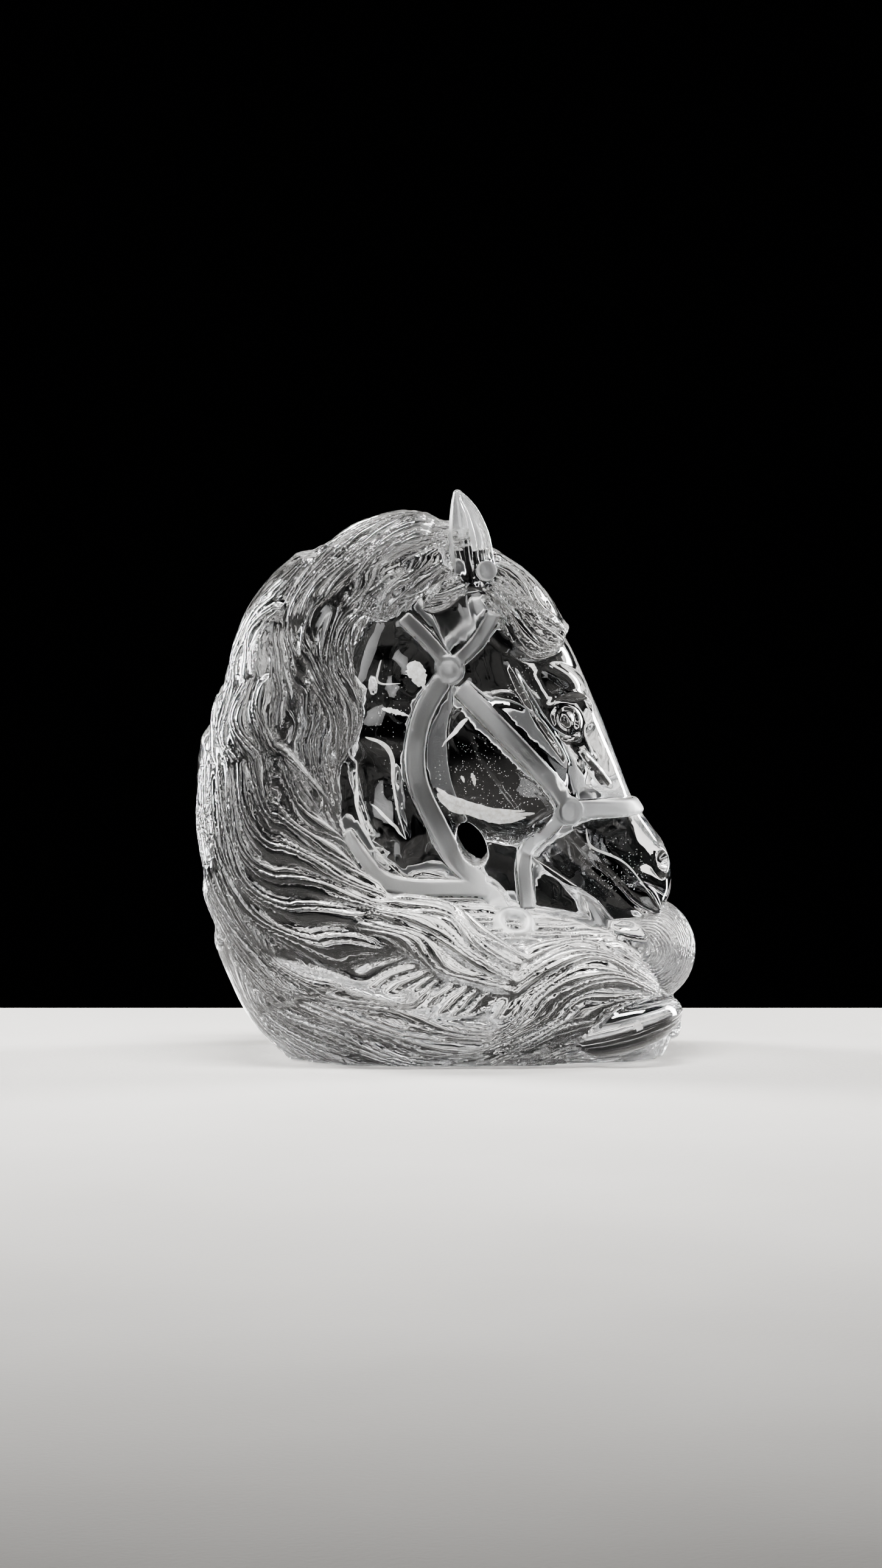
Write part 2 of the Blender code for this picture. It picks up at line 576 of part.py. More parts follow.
def build_hole_cutter(cutters):
    """The slanted oval that opens the web under the jowl."""
    reach = GUIDE_DEPTH * ACROSS
    bpy.ops.mesh.primitive_cylinder_add(vertices=ROUND_FACETS, radius=0.5, depth=reach)
    cutter = bpy.context.active_object
    cutter.name = "hole_cutter"
    cutter.scale = (HOLE_WIDTH, HOLE_LENGTH, 1)
    cutter.rotation_euler = (math.pi / 2, HOLE_SLANT, 0)
    cutter.location = place(HOLE_PLACE[0], 0, HOLE_PLACE[1])
    keep_as_cutter(cutter, cutters)
    return cutter


def build_floor_cutter(cutters):
    """The block below the floor, which cuts the foot flat."""
    bpy.ops.mesh.primitive_cube_add(size=1, location=(0, 0, -HEIGHT / 4))
    cutter = bpy.context.active_object
    cutter.name = "floor_cutter"
    cutter.scale = (2 * HEIGHT, 2 * HEIGHT, HEIGHT / 2)
    keep_as_cutter(cutter, cutters)
    return cutter


def keep_as_cutter(cutter, cutters):
    """Moves a helper to the cutters' collection and out of renders."""
    for collection in list(cutter.users_collection):
        collection.objects.unlink(cutter)
    cutters.objects.link(cutter)
    cutter.hide_render = True
    cutter.display_type = "WIRE"


def cut(target, cutter):
    """Takes the cutter's shape out of a mesh object by a live Boolean."""
    modifier = target.modifiers.new("Cut", "BOOLEAN")
    modifier.operation = "DIFFERENCE"
    modifier.solver = "EXACT"
    modifier.object = cutter


def fuse(name, pieces, voxel, smoothing):
    """Joins closed pieces that overlap into one mesh object with one skin."""
    for piece in pieces:
        if not piece.users_collection:
            bpy.context.scene.collection.objects.link(piece)
    bpy.context.view_layer.update()
    graph = bpy.context.evaluated_depsgraph_get()
    work = bmesh.new()
    for piece in pieces:
        mesh = bpy.data.meshes.new_from_object(piece.evaluated_get(graph))
        mesh.transform(piece.matrix_world)
        work.from_mesh(mesh)
        bpy.data.meshes.remove(mesh)
    joined = bpy.data.meshes.new(name)
    work.to_mesh(joined)
    work.free()
    result = bpy.data.objects.new(name, joined)
    bpy.context.scene.collection.objects.link(result)
    remesh = result.modifiers.new("Fuse", "REMESH")
    remesh.mode = "VOXEL"
    remesh.voxel_size = voxel
    smooth = result.modifiers.new("Polish", "SMOOTH")
    smooth.factor = 0.5
    smooth.iterations = smoothing
    apply_modifiers(result)
    return result


def apply_modifiers(target):
    """Replaces the object's mesh by the shape that its modifiers give."""
    bpy.context.view_layer.update()
    graph = bpy.context.evaluated_depsgraph_get()
    mesh = bpy.data.meshes.new_from_object(target.evaluated_get(graph))
    target.modifiers.clear()
    target.data = mesh


def centre_on_foot(body):
    """Moves the carving so that the middle of its box stands over the origin."""
    corners = np.array([vertex.co for vertex in body.data.vertices])
    middle = (corners.min(axis=0) + corners.max(axis=0)) / 2
    body.data.transform(Matrix.Translation((-middle[0], -middle[1], 0)))


class Surface:
    """The fused form, on which straps and bosses are laid."""

    def __init__(self, form):
        graph = bpy.context.evaluated_depsgraph_get()
        self.tree = BVHTree.FromObject(form, graph)

    def below(self, x, z, side):
        """The point and the outward way of the surface at a place in profile."""
        start = Vector((x * UNIT, side * DEPTH, z * UNIT))
        point, normal, _, _ = self.tree.ray_cast(start, Vector((0, -side, 0)))
        if point is None:
            point, normal, _, _ = self.tree.find_nearest(start)
        return point, normal

    def towards(self, middle, way):
        """The point and outward way of the surface met on the way in to a middle place."""
        point, normal, _, _ = self.tree.ray_cast(middle + way * HEIGHT, -way)
        return point, normal


def band(name, places, width):
    """A flat strap with round edges along surface points, given with their outward ways."""
    points = np.array([point for point, _ in places])
    normals = np.array([normal for _, normal in places])
    for _ in range(6):
        points[1:-1] = (points[:-2] + 2 * points[1:-1] + points[2:]) / 4
        normals[1:-1] = (normals[:-2] + 2 * normals[1:-1] + normals[2:]) / 4
    way = np.gradient(points, axis=0)
    sideways = np.cross(normals, way)
    sideways /= np.linalg.norm(sideways, axis=1, keepdims=True)
    normals /= np.linalg.norm(normals, axis=1, keepdims=True)
    angle = np.linspace(0, 2 * math.pi, STRAP_AROUND, endpoint=False)
    across = np.sign(np.cos(angle)) * np.abs(np.cos(angle)) ** STRAP_SQUARENESS * width / 2
    height = np.sign(np.sin(angle)) * np.abs(np.sin(angle)) ** STRAP_SQUARENESS
    height *= np.where(height > 0, STRAP_RISE, STRAP_ROOT)
    rings = (
        points[:, None, :]
        + sideways[:, None, :] * across[None, :, None]
        + normals[:, None, :] * height[None, :, None]
    )
    return ring_mesh(name, rings)


def build_straps(surface):
    """Every strap of the bridle, alike on both sides, and the noseband that joins them."""
    straps = []
    for side in (-1, 1):
        for name, line, width in (
            ("cheekpiece", CHEEKPIECE, CHEEK_STRAP),
            ("throatlatch", THROATLATCH, THROAT_STRAP),
            ("crownpiece", CROWNPIECE, CROWN_STRAP),
            ("browband", BROWBAND, BROW_STRAP),
            ("jaw_piece", JAW_PIECE, JAW_STRAP),
            ("rein", REIN_LINE, REIN),
        ):
            places = [surface.below(x, z, side) for x, z in path_through(line, STRAP_STEPS)]
            straps.append(band(name, places, width))
    middle = place(*NOSEBAND_MIDDLE)
    turns = np.linspace(-NOSEBAND_TURN, NOSEBAND_TURN, NOSEBAND_STEPS)
    ways = [Vector((math.cos(turn), math.sin(turn), 0)) for turn in turns]
    straps.append(band("noseband", [surface.towards(middle, way) for way in ways], NOSE_STRAP))
    return straps


def build_boss(surface, x, z, side, radius, rise):
    """A round boss where straps meet, set square on the surface."""
    point, normal = surface.below(x, z, side)
    bpy.ops.mesh.primitive_uv_sphere_add(segments=ROUND_FACETS, ring_count=ROUND_FACETS // 2, radius=1)
    boss = bpy.context.active_object
    boss.scale = (radius, radius, STRAP_RISE + rise)
    boss.rotation_euler = normal.to_track_quat("Z", "Y").to_euler()
    boss.location = point
    return boss


def build_bit_ring(surface, side):
    """The ring that joins jaw piece and rein."""
    point, normal = surface.below(*BIT_RING, side)
    bpy.ops.mesh.primitive_torus_add(
        major_segments=ROUND_FACETS, major_radius=BIT_RING_RADIUS, minor_radius=BIT_RING_WIRE
    )
    ring = bpy.context.active_object
    ring.rotation_euler = normal.to_track_quat("Z", "Y").to_euler()
    ring.location = point
    return ring


def build_eye(surface, side):
    """The eyeball and the long ring of its lids, which slants down towards the nose."""
    point, normal = surface.below(*EYE_PLACE, side)
    bpy.ops.mesh.primitive_uv_sphere_add(
        segments=ROUND_FACETS, ring_count=ROUND_FACETS // 2, radius=EYE_RADIUS, location=point
    )
    ball = bpy.context.active_object
    bpy.ops.mesh.primitive_torus_add(
        major_segments=ROUND_FACETS, major_radius=EYE_RADIUS + LID_WIDTH, minor_radius=LID_WIDTH * LID_ROUND
    )
    lids = bpy.context.active_object
    lids.scale = (LID_LENGTH, 1, 1)
    slant = Quaternion((0, 0, 1), -side * LID_SLANT)
    lids.rotation_euler = (normal.to_track_quat("Z", "Y") @ slant).to_euler()
    lids.location = point
    return [ball, lids]


def crystal_material():
    """Clear polished rock crystal."""
    material = bpy.data.materials.new("rock_crystal")
    material.use_nodes = True
    shader = material.node_tree.nodes["Principled BSDF"]
    shader.inputs["Base Color"].default_value = (0.86, 0.88, 0.90, 1)
    shader.inputs["Roughness"].default_value = 0.06
    shader.inputs["Metallic"].default_value = 0.0
    shader.inputs["IOR"].default_value = 1.544
    shader.inputs["Transmission Weight"].default_value = 1.0
    return material


def main():
    """Builds the carving as one solid."""
    for old in list(bpy.data.objects):
        bpy.data.objects.remove(old)
    carving = bpy.data.collections.new("horse_head_carving")
    cutters = bpy.data.collections.new("cutters")
    for collection in (carving, cutters):
        bpy.context.scene.collection.children.link(collection)

    hole = build_hole_cutter(cutters)
    floor = build_floor_cutter(cutters)
    opened = [build_head(), build_neck(), build_web()]
    for piece in opened:
        cut(piece, hole)
    forms = opened + [build_mane(), build_curl(), build_ear(-1), build_ear(1)]
    forms += [build_lobe(*lobe) for lobe in LOBES]
    form = fuse("form", forms, VOXEL * FORM_VOXEL, 2)
    surface = Surface(form)
    bpy.data.objects.remove(form)

    trim = build_straps(surface)
    for side in (-1, 1):
        trim += [build_boss(surface, x, z, side, BOSS_RADIUS, BOSS_RISE) for x, z in BOSSES]
        trim.append(build_boss(surface, *EAR_BOSS, side, EAR_BOSS_RADIUS, EAR_BOSS_RISE))
        trim.append(build_bit_ring(surface, side))
        trim += build_eye(surface, side)
    body = fuse("quartz_horse_head", forms + trim, VOXEL, 1)
    for piece in forms + trim:
        bpy.data.objects.remove(piece)

    bpy.context.scene.collection.objects.unlink(body)
    carving.objects.link(body)
    reduce = body.modifiers.new("Facets", "DECIMATE")
    triangles = sum(len(face.vertices) - 2 for face in body.data.polygons)
    reduce.ratio = min(1, TRIANGLES / triangles)
    cut(body, floor)
    apply_modifiers(body)
    centre_on_foot(body)
    body.data.materials.clear()
    body.data.materials.append(crystal_material())
    body.data.shade_smooth()
    body.data.set_sharp_from_angle(angle=math.radians(60))


main()
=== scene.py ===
"""Horse head in bridle, carved from one block of clear rock crystal, set on a pale table in a dark studio.

The carving is one skin. Every form in it is raised from a guide in hundredths of the carving's height: X
towards the nose, Z up from the foot, and Y in fiftieths of its depth, from the near side to the far side.
The forms are joined, given one skin by a voxel remesh, pierced and cut flat below, and then thinned.
"""

import logging
import math
from collections.abc import Callable, Iterator, Sequence
from contextlib import contextmanager
from dataclasses import dataclass, field
from enum import Enum

import bmesh
import bpy
import numpy as np
from mathutils import Matrix, Quaternion, Vector
from mathutils.bvhtree import BVHTree


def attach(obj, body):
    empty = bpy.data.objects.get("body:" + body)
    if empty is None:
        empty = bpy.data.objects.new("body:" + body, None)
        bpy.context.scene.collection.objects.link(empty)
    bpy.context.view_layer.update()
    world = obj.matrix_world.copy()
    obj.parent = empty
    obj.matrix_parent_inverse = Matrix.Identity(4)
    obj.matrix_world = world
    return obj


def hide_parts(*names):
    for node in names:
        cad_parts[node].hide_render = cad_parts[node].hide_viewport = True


log = logging.getLogger("quartz_horse_head")

NODE = "quartz_horse_head"
BODY = "root"

BAND_ROUND = 40
BAND_SQUARENESS = 0.5

Pair = tuple[float, float]
Path = Sequence[Pair]

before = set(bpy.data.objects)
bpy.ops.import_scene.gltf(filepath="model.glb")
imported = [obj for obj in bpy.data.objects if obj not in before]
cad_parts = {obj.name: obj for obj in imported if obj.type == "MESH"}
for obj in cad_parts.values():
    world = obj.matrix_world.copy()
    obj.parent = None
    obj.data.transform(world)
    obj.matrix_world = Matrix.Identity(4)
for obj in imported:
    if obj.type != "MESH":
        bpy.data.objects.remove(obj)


class Side(Enum):
    """The two sides of the head, as the sign of Y."""

    NEAR = -1
    FAR = 1


class Cut(Enum):
    """How a stretch of the skin was worked, as the value kept in the skin's finish attribute."""

    POLISHED = 0.0
    HAIR = 0.5
    MATT = 1.0


@dataclass(frozen=True)
class Grid:
    """The guide units, worked out from the block's own size.

    Attributes:
        height: Height of the carving in metres.
        depth: Depth of the carving in metres.
        guide_depth: How many guide units the depth stands for.
    """

    height: float = 0.090
    depth: float = 0.045
    guide_depth: float = 50

    @property
    def unit(self) -> float:
        """One guide unit along X or Z, in metres."""
        return self.height / 100

    @property
    def across(self) -> float:
        """One guide unit along Y, in metres."""
        return self.depth / self.guide_depth

    def place(self, x: float, y: float, z: float) -> Vector:
        """A guide place in metres."""
        return Vector((x * self.unit, y * self.across, z * self.unit))


GRID = Grid()
UNIT = GRID.unit


def smooth_step(share: np.ndarray) -> np.ndarray:
    """Nought below 0, one above 1 and a soft rise between."""
    share = np.clip(share, 0, 1)
    return share * share * (3 - 2 * share)


def blend(rows: Sequence, t: np.ndarray) -> np.ndarray:
    """Reads rows of numbers smoothly at fractional row numbers.

    Args:
        rows: One row of numbers for each station.
        t: Row numbers, which need not be whole.

    Returns:
        One row of numbers for each value in t.
    """
    rows = np.asarray(rows, float)
    last = len(rows) - 1
    t = np.clip(np.asarray(t, float), 0, last)
    i = np.minimum(t.astype(int), last - 1)
    f = (t - i)[..., None]
    before, here = rows[np.maximum(i - 1, 0)], rows[i]
    after, beyond = rows[i + 1], rows[np.minimum(i + 2, last)]
    steady = 2 * before - 5 * here + 4 * after - beyond
    turning = 3 * here - before - 3 * after + beyond
    return 0.5 * (2 * here + (after - before) * f + steady * f**2 + turning * f**3)


def path_through(points: Sequence, count: int) -> np.ndarray:
    """A smooth path of count places through a few guide points."""
    return blend(points, np.linspace(0, len(points) - 1, count))


def domed(rings: np.ndarray, start: float, end: float, steps: int = 8) -> np.ndarray:
    """Adds a round end to a run of rings.

    Args:
        rings: Ring, place on the ring, x y z.
        start: Length of the round end before the first ring.
        end: Length of the round end after the last ring.
        steps: Rings in each round end.

    Returns:
        The longer run of rings.
    """
    middles = rings.mean(axis=1)
    first, last = [], []
    for ends, ring, middle, way, length in (
        (first, rings[0], middles[0], middles[0] - middles[1], start),
        (last, rings[-1], middles[-1], middles[-1] - middles[-2], end),
    ):
        way = way / np.linalg.norm(way)
        for step in range(1, steps + 1):
            turn = math.pi / 2 * step / (steps + 0.3)
            ends.append(middle + (ring - middle) * math.cos(turn) + way * length * math.sin(turn))
    return np.concatenate([np.array(first[::-1]), rings, np.array(last)])


def oval_rings(
    rows: np.ndarray, around: int, offsets: np.ndarray | None = None, square: float = 2.0
) -> np.ndarray:
    """Rings set square to a path in profile.

    Args:
        rows: Centre x z, half thickness in profile and half depth for each ring.
        around: Places on each ring.
        offsets: How far each ring stands to the far side, or None.
        square: 2 for an oval, more for a section with squarer corners.

    Returns:
        Ring, place on the ring, x y z in metres.
    """
    rows = np.asarray(rows, float)
    way = np.gradient(rows[:, :2], axis=0)
    way /= np.linalg.norm(way, axis=1, keepdims=True)
    lift = np.stack([-way[:, 1], way[:, 0]], axis=1)
    angle = np.linspace(0, 2 * math.pi, around, endpoint=False)
    out = np.sign(np.cos(angle)) * np.abs(np.cos(angle)) ** (2 / square)
    aside = np.sign(np.sin(angle)) * np.abs(np.sin(angle)) ** (2 / square)
    rings = np.empty((len(rows), around, 3))
    rings[..., 0] = (rows[:, 0, None] + lift[:, 0, None] * rows[:, 2, None] * out) * UNIT
    rings[..., 2] = (rows[:, 1, None] + lift[:, 1, None] * rows[:, 2, None] * out) * UNIT
    rings[..., 1] = rows[:, 3, None] * aside * GRID.across
    if offsets is not None:
        rings[..., 1] += np.asarray(offsets)[:, None] * GRID.across
    return rings


def spread(first: Path, last: Path, places: np.ndarray, grain: np.ndarray) -> tuple[np.ndarray, np.ndarray]:
    """Finds where places lie in a sheaf of hair.

    Args:
        first: Guide points of the lock on one border, in the plane of places.
        last: Guide points of the lock on the other border.
        places: Places in that plane, in the last axis.
        grain: Fineness of the search along each axis of the plane.

    Returns:
        The share across the sheaf and the share along it, nan outside it.
    """
    first, last = np.asarray(first, float), np.asarray(last, float)
    size = np.ptp(np.concatenate([first, last]), axis=0)
    steps = int(1.6 * max(size / grain)) + 2
    along = np.linspace(0, 1, 2 * steps)
    across = np.linspace(0, 1, steps)
    start, end = path_through(first, 2 * steps), path_through(last, 2 * steps)
    grid = start[:, None, :] * (1 - across)[None, :, None] + end[:, None, :] * across[None, :, None]
    low = grid.reshape(-1, 2).min(axis=0)
    cells = ((grid - low) / grain).astype(np.int32)
    rows, columns = cells.reshape(-1, 2).max(axis=0) + 1
    index = (cells[..., 0] * columns + cells[..., 1]).ravel()
    count = np.bincount(index, minlength=rows * columns)
    shares = np.broadcast_arrays(across[None, :], along[:, None])
    totals = [np.bincount(index, weights=share.ravel(), minlength=rows * columns) for share in shares]
    seen = np.floor((places - low) / grain)
    inside = (seen >= 0).all(axis=-1) & (seen[..., 0] < rows) & (seen[..., 1] < columns)
    seen = np.where(inside[..., None], seen, 0).astype(int)
    seen_index = seen[..., 0] * columns + seen[..., 1]
    inside &= count[seen_index] > 0
    divisor = np.where(inside, count[seen_index], 1)
    found = [np.where(inside, total[seen_index] / divisor, np.nan) for total in totals]
    return found[0], found[1]


def only(*objects: bpy.types.Object) -> None:
    """Selects these objects alone and makes the last one active."""
    bpy.ops.object.select_all(action="DESELECT")
    for one in objects:
        one.select_set(True)
    bpy.context.view_layer.objects.active = objects[-1]


def added(operator: Callable, **settings: object) -> bpy.types.Object:
    """Adds a primitive with nothing else selected.

    Args:
        operator: The operator that adds it.
        **settings: The operator's own settings.

    Returns:
        The new object.
    """
    bpy.ops.object.select_all(action="DESELECT")
    operator(**settings)
    return bpy.context.active_object


@contextmanager
def editing(piece: bpy.types.Object) -> Iterator[None]:
    """Opens a piece in edit mode with all of it selected, and closes it afterwards."""
    only(piece)
    bpy.ops.object.mode_set(mode="EDIT")
    bpy.ops.mesh.select_all(action="SELECT")
    yield
    bpy.ops.object.mode_set(mode="OBJECT")


def apply_modifier(target: bpy.types.Object, kind: str, **settings: object) -> None:
    """Adds one modifier with its settings and applies it.

    Args:
        target: Mesh object to change.
        kind: Blender's name for the kind of modifier.
        **settings: Values for the modifier's own properties.
    """
    only(target)
    modifier = target.modifiers.new(kind.title(), kind)
    for name, value in settings.items():
        setattr(modifier, name, value)
    bpy.ops.object.modifier_apply(modifier=modifier.name)


def apply_place(target: bpy.types.Object) -> None:
    """Puts the object's place, turn and scale into its mesh."""
    only(target)
    bpy.ops.object.transform_apply(location=True, rotation=True, scale=True)


def carry(piece: bpy.types.Object, **values: np.ndarray | float) -> None:
    """Writes values that each point of a piece carries to the finished skin, by their names."""
    for name, value in values.items():
        attribute = piece.data.attributes.new(name, "FLOAT", "POINT")
        spread_out = np.broadcast_to(np.asarray(value, np.float32), len(piece.data.vertices))
        attribute.data.foreach_set("value", np.ascontiguousarray(spread_out))


def rolled(name: str, rings: np.ndarray, **values: np.ndarray) -> bpy.types.Object:
    """Rolls a primitive grid into a closed skin through rings of places.

    Args:
        name: Name for the object.
        rings: Ring, place on the ring, x y z in metres.
        **values: What each place carries, by name.

    Returns:
        The closed mesh object, with its faces pointing out.
    """
    count, around = rings.shape[:2]
    skin = added(bpy.ops.mesh.primitive_grid_add, x_subdivisions=around, y_subdivisions=count + 1, size=1)
    skin.name = name
    tips = [np.broadcast_to(ring.mean(axis=0), ring.shape)[None] for ring in (rings[0], rings[-1])]
    closed = np.concatenate([tips[0], rings, tips[1]])
    closed = np.concatenate([closed, closed[:, :1]], axis=1)
    skin.data.vertices.foreach_set("co", closed.astype(np.float32).ravel())
    for key, value in values.items():
        value = np.concatenate([value[:1], value, value[-1:]])
        carry(skin, **{key: np.concatenate([value, value[:, :1]], axis=1).ravel()})
    with editing(skin):
        bpy.ops.mesh.remove_doubles(threshold=1e-6)
        bpy.ops.mesh.normals_make_consistent(inside=False)
    return skin


@dataclass(frozen=True)
class Hair:
    """How hair is cut into the crystal, in metres where it is a length.

    Attributes:
        rise: Height of a sheaf's middle over what it lies on.
        lock_depth: Depth of the valleys between its locks.
        lock_wave: How far the locks wave to the side, in lock widths.
        pitch: Distance between hair lines.
        strand_depth: Depth of a hair line.
        wander: How far a hair line strays, in line widths.
        fade: Share of a sheaf's length over which it comes up and dies away.
        border: Share of a lock's width over which a sheaf's borders come up.
        border_height: Height of a sheaf beside its borders, as a share of its middle's.
        sharpness: Under 1, the valleys are sharp and the crests round.
        line_sharpness: The same for the hair lines.
        far_share: Depth of the hair lines on the far side, which is plainer, as a share of the near side's.
    """

    rise: float = 0.0014
    lock_depth: float = 0.0007
    lock_wave: float = 0.28
    pitch: float = 0.00082
    strand_depth: float = 0.0003
    wander: float = 0.5
    fade: float = 0.13
    border: float = 0.4
    border_height: float = 0.35
    sharpness: float = 0.8
    line_sharpness: float = 0.65
    far_share: float = 0.3


class Skin:
    """A run of rings that the carving raises and sinks before it is rolled into a mesh.

    Each place keeps its height over the plain ring, its finish, the count of hair lines up to it and how
    deep those lines are.
    """

    def __init__(self, rings: np.ndarray, cut: Cut) -> None:
        """Keeps the plain rings and works out which way is out.

        Args:
            rings: Ring, place on the ring, x y z in metres.
            cut: How the skin is worked.
        """
        self.base = rings
        self.finish = np.full(rings.shape[:2], cut.value)
        self.strand = np.zeros(rings.shape[:2])
        self.comb = np.zeros(rings.shape[:2])
        along = np.gradient(rings, axis=0)
        around = (np.roll(rings, -1, axis=1) - np.roll(rings, 1, axis=1)) / 2
        normal = np.cross(along, around)
        normal /= np.maximum(np.linalg.norm(normal, axis=2, keepdims=True), 1e-12)
        outward = np.einsum("abi,abi->", normal, rings - rings.mean(axis=1, keepdims=True))
        self.normal = normal * np.sign(outward)
        self.rise = np.zeros(rings.shape[:2])

    def trace(self, guide: Path, side: Side, count: int = 60) -> np.ndarray:
        """Lays a line seen in profile on one side of the skin.

        Args:
            guide: Places in profile.
            side: The side that it lies on.
            count: Points wanted.

        Returns:
            Points on the skin in metres.
        """
        seen = []
        hidden = self.normal[..., 1] * side.value < 0.05
        for x, z in path_through(guide, count):
            away = ((self.base[..., [0, 2]] - (x * UNIT, z * UNIT)) ** 2).sum(axis=2)
            point = self.base[np.unravel_index(np.where(hidden, np.inf, away).argmin(), away.shape)]
            seen.append((x * UNIT, point[1], z * UNIT))
        path = np.array(seen)
        for _ in range(8):
            path[1:-1, 1] = (path[:-2, 1] + 2 * path[1:-1, 1] + path[2:, 1]) / 4
        return path

    def line(self, centres: np.ndarray, half_width: float, rise: float) -> None:
        """Adds a ridge along a line, or a groove if the rise is negative, which fades at both ends.

        Args:
            centres: Points on the skin in metres.
            half_width: Half width in metres.
            rise: Height in metres.
        """
        reach = half_width * 3
        low, high = centres.min(axis=0) - reach, centres.max(axis=0) + reach
        rows, columns = np.nonzero(((self.base > low) & (self.base < high)).all(axis=2))
        points, normals = self.base[rows, columns], self.normal[rows, columns]
        away = ((points[:, None, :] - centres[None, :, :]) ** 2).sum(axis=2)
        step = away.argmin(axis=1)
        tangent = np.gradient(centres, axis=0)
        tangent /= np.linalg.norm(tangent, axis=1, keepdims=True)
        offset = points - centres[step]
        across = np.abs(np.einsum("ai,ai->a", offset, np.cross(normals, tangent[step])))
        depth = np.abs(np.einsum("ai,ai->a", offset, normals))
        spacing = np.linalg.norm(np.gradient(centres, axis=0), axis=1)[step]
        along = (step + np.einsum("ai,ai->a", offset, tangent[step]) / spacing) / (len(centres) - 1)
        near = (along > 0) & (along < 1) & (depth < reach)
        fade = np.minimum(1, 5 * along) * np.minimum(1, 5 * (1 - along))
        shape = (1 + np.cos(math.pi * np.clip(across / half_width, 0, 1))) / 2 * fade
        self.rise[rows[near], columns[near]] += rise * shape[near]

    def bulge(
        self, middle: Pair, radii: Pair, tilt: float, rise: float, side: Side, power: float = 1.0
    ) -> None:
        """Adds an oval swelling on one side, or a hollow if the rise is negative.

        Args:
            middle: Middle in profile.
            radii: Half length and half width in guide units.
            tilt: Turn of the length, in radians.
            rise: Height in guide units.
            side: The side that it is on.
            power: 1 for a soft edge, less for a steeper one.
        """
        self.rise += rise * UNIT * self.oval(middle, radii, tilt, side) ** power

    def oval(self, middle: Pair, radii: Pair, tilt: float, side: Side) -> np.ndarray:
        """The share of an oval at each place: one at its middle, nought at its border and across the head."""
        offset = self.base[..., [0, 2]] - np.array([middle[0] * UNIT, middle[1] * UNIT])
        cosine, sine = math.cos(tilt), math.sin(tilt)
        first = (offset[..., 0] * cosine + offset[..., 1] * sine) / (radii[0] * UNIT)
        second = (offset[..., 1] * cosine - offset[..., 0] * sine) / (radii[1] * UNIT)
        facing = np.clip(self.normal[..., 1] * side.value * 4, 0, 1)
        return np.clip(1 - first**2 - second**2, 0, 1) * facing

    def haze(self, middle: Pair, radii: Pair, tilt: float, value: float, side: Side) -> None:
        """Leaves an oval patch on one side less polished, with no sharp border.

        Args:
            middle: Middle in profile.
            radii: Half length and half width in guide units.
            tilt: Turn of the length, in radians.
            value: The finish at its middle.
            side: The side that it is on.
        """
        share = self.oval(middle, radii, tilt, side)
        self.finish = np.maximum(self.finish, value * smooth_step(2 * share))

    def lay_sheaf(
        self,
        across: np.ndarray,
        along: np.ndarray,
        locks: int,
        width: float,
        hair: Hair,
        phase: float,
        side: Side,
    ) -> None:
        """Lays a raised sheaf of wavy locks, cut into hair lines, over what is there.

        Args:
            across: Share across the sheaf for each place on the skin, nan outside it.
            along: Share along the sheaf.
            locks: Locks side by side in it.
            width: Its mean width in metres.
            hair: How the hair is cut.
            phase: Where its waves start, in radians.
            side: The side that it is on.
        """
        inside = np.isfinite(across)
        q, t = across[inside], along[inside]
        edge = smooth_step(np.minimum(q, 1 - q) * locks / hair.border)
        weight = edge * smooth_step(t / hair.fade) * smooth_step((1 - t) / hair.fade)
        lock = q * locks + hair.lock_wave * edge * np.sin(7.5 * t + phase)
        scallop = np.abs(np.sin(math.pi * lock)) ** hair.sharpness
        strand = lock * max(2, round(width / locks / hair.pitch))
        stray = np.sin(2.3 * lock + 9.0 * t + phase) + 0.6 * np.sin(5.1 * lock - 14.0 * t)
        strand = strand + hair.wander * stray
        share = hair.far_share if side is Side.FAR else 1.0
        depth = share * hair.strand_depth * (0.75 + 0.25 * np.sin(1.7 * strand + 4 * t + phase))
        cut = np.abs(np.sin(math.pi * strand)) ** hair.line_sharpness
        height = hair.rise * (hair.border_height + (1 - hair.border_height) * np.sqrt(4 * q * (1 - q)))
        height = height + hair.lock_depth * (scallop - 1) + depth * (cut - 1)
        self.rise[inside] = self.rise[inside] * (1 - weight) + height * weight
        self.finish[inside] = self.finish[inside] * (1 - weight) + Cut.HAIR.value * weight
        self.strand[inside] = np.where(weight > 0.5, strand, self.strand[inside])
        under, over = np.clip(1 - 2.4 * weight, 0, 1), np.clip(2.4 * weight - 1.4, 0, 1)
        self.comb[inside] = self.comb[inside] * under + share * over

    def mesh(self, name: str) -> bpy.types.Object:
        """The raised skin as a closed mesh object, which carries its finish and its hair lines."""
        rings = self.base + self.normal * self.rise[..., None]
        return rolled(name, rings, finish=self.finish, strand=self.strand, comb=self.comb)


def turn_of(across: Sequence[float], rim: float, neck_edge: float) -> np.ndarray:
    """The turn round the mane's section for places across it.

    Args:
        across: From -1 at the neck edge to 1 at the rim, and past 1 over the rim.
        rim: Squareness of the rim's half of the section.
        neck_edge: Squareness of the other half.

    Returns:
        The turns in radians, negative past the rim.
    """
    across = np.asarray(across, float)
    inside = np.clip(np.where(across > 1, 2 - across, across), -1, 1)
    square = np.where(inside > 0, rim, neck_edge)
    turn = np.arccos(np.sign(inside) * np.abs(inside) ** (square / 2))
    return np.where(across > 1, -turn, turn)


@dataclass(frozen=True)
class Sheaf:
    """A sheaf of hair on the mane.

    Attributes:
        locks: Locks side by side.
        first: The lock on one border, as places along and across the mane.
        last: The lock on the other border.
    """

    locks: int
    first: Path
    last: Path


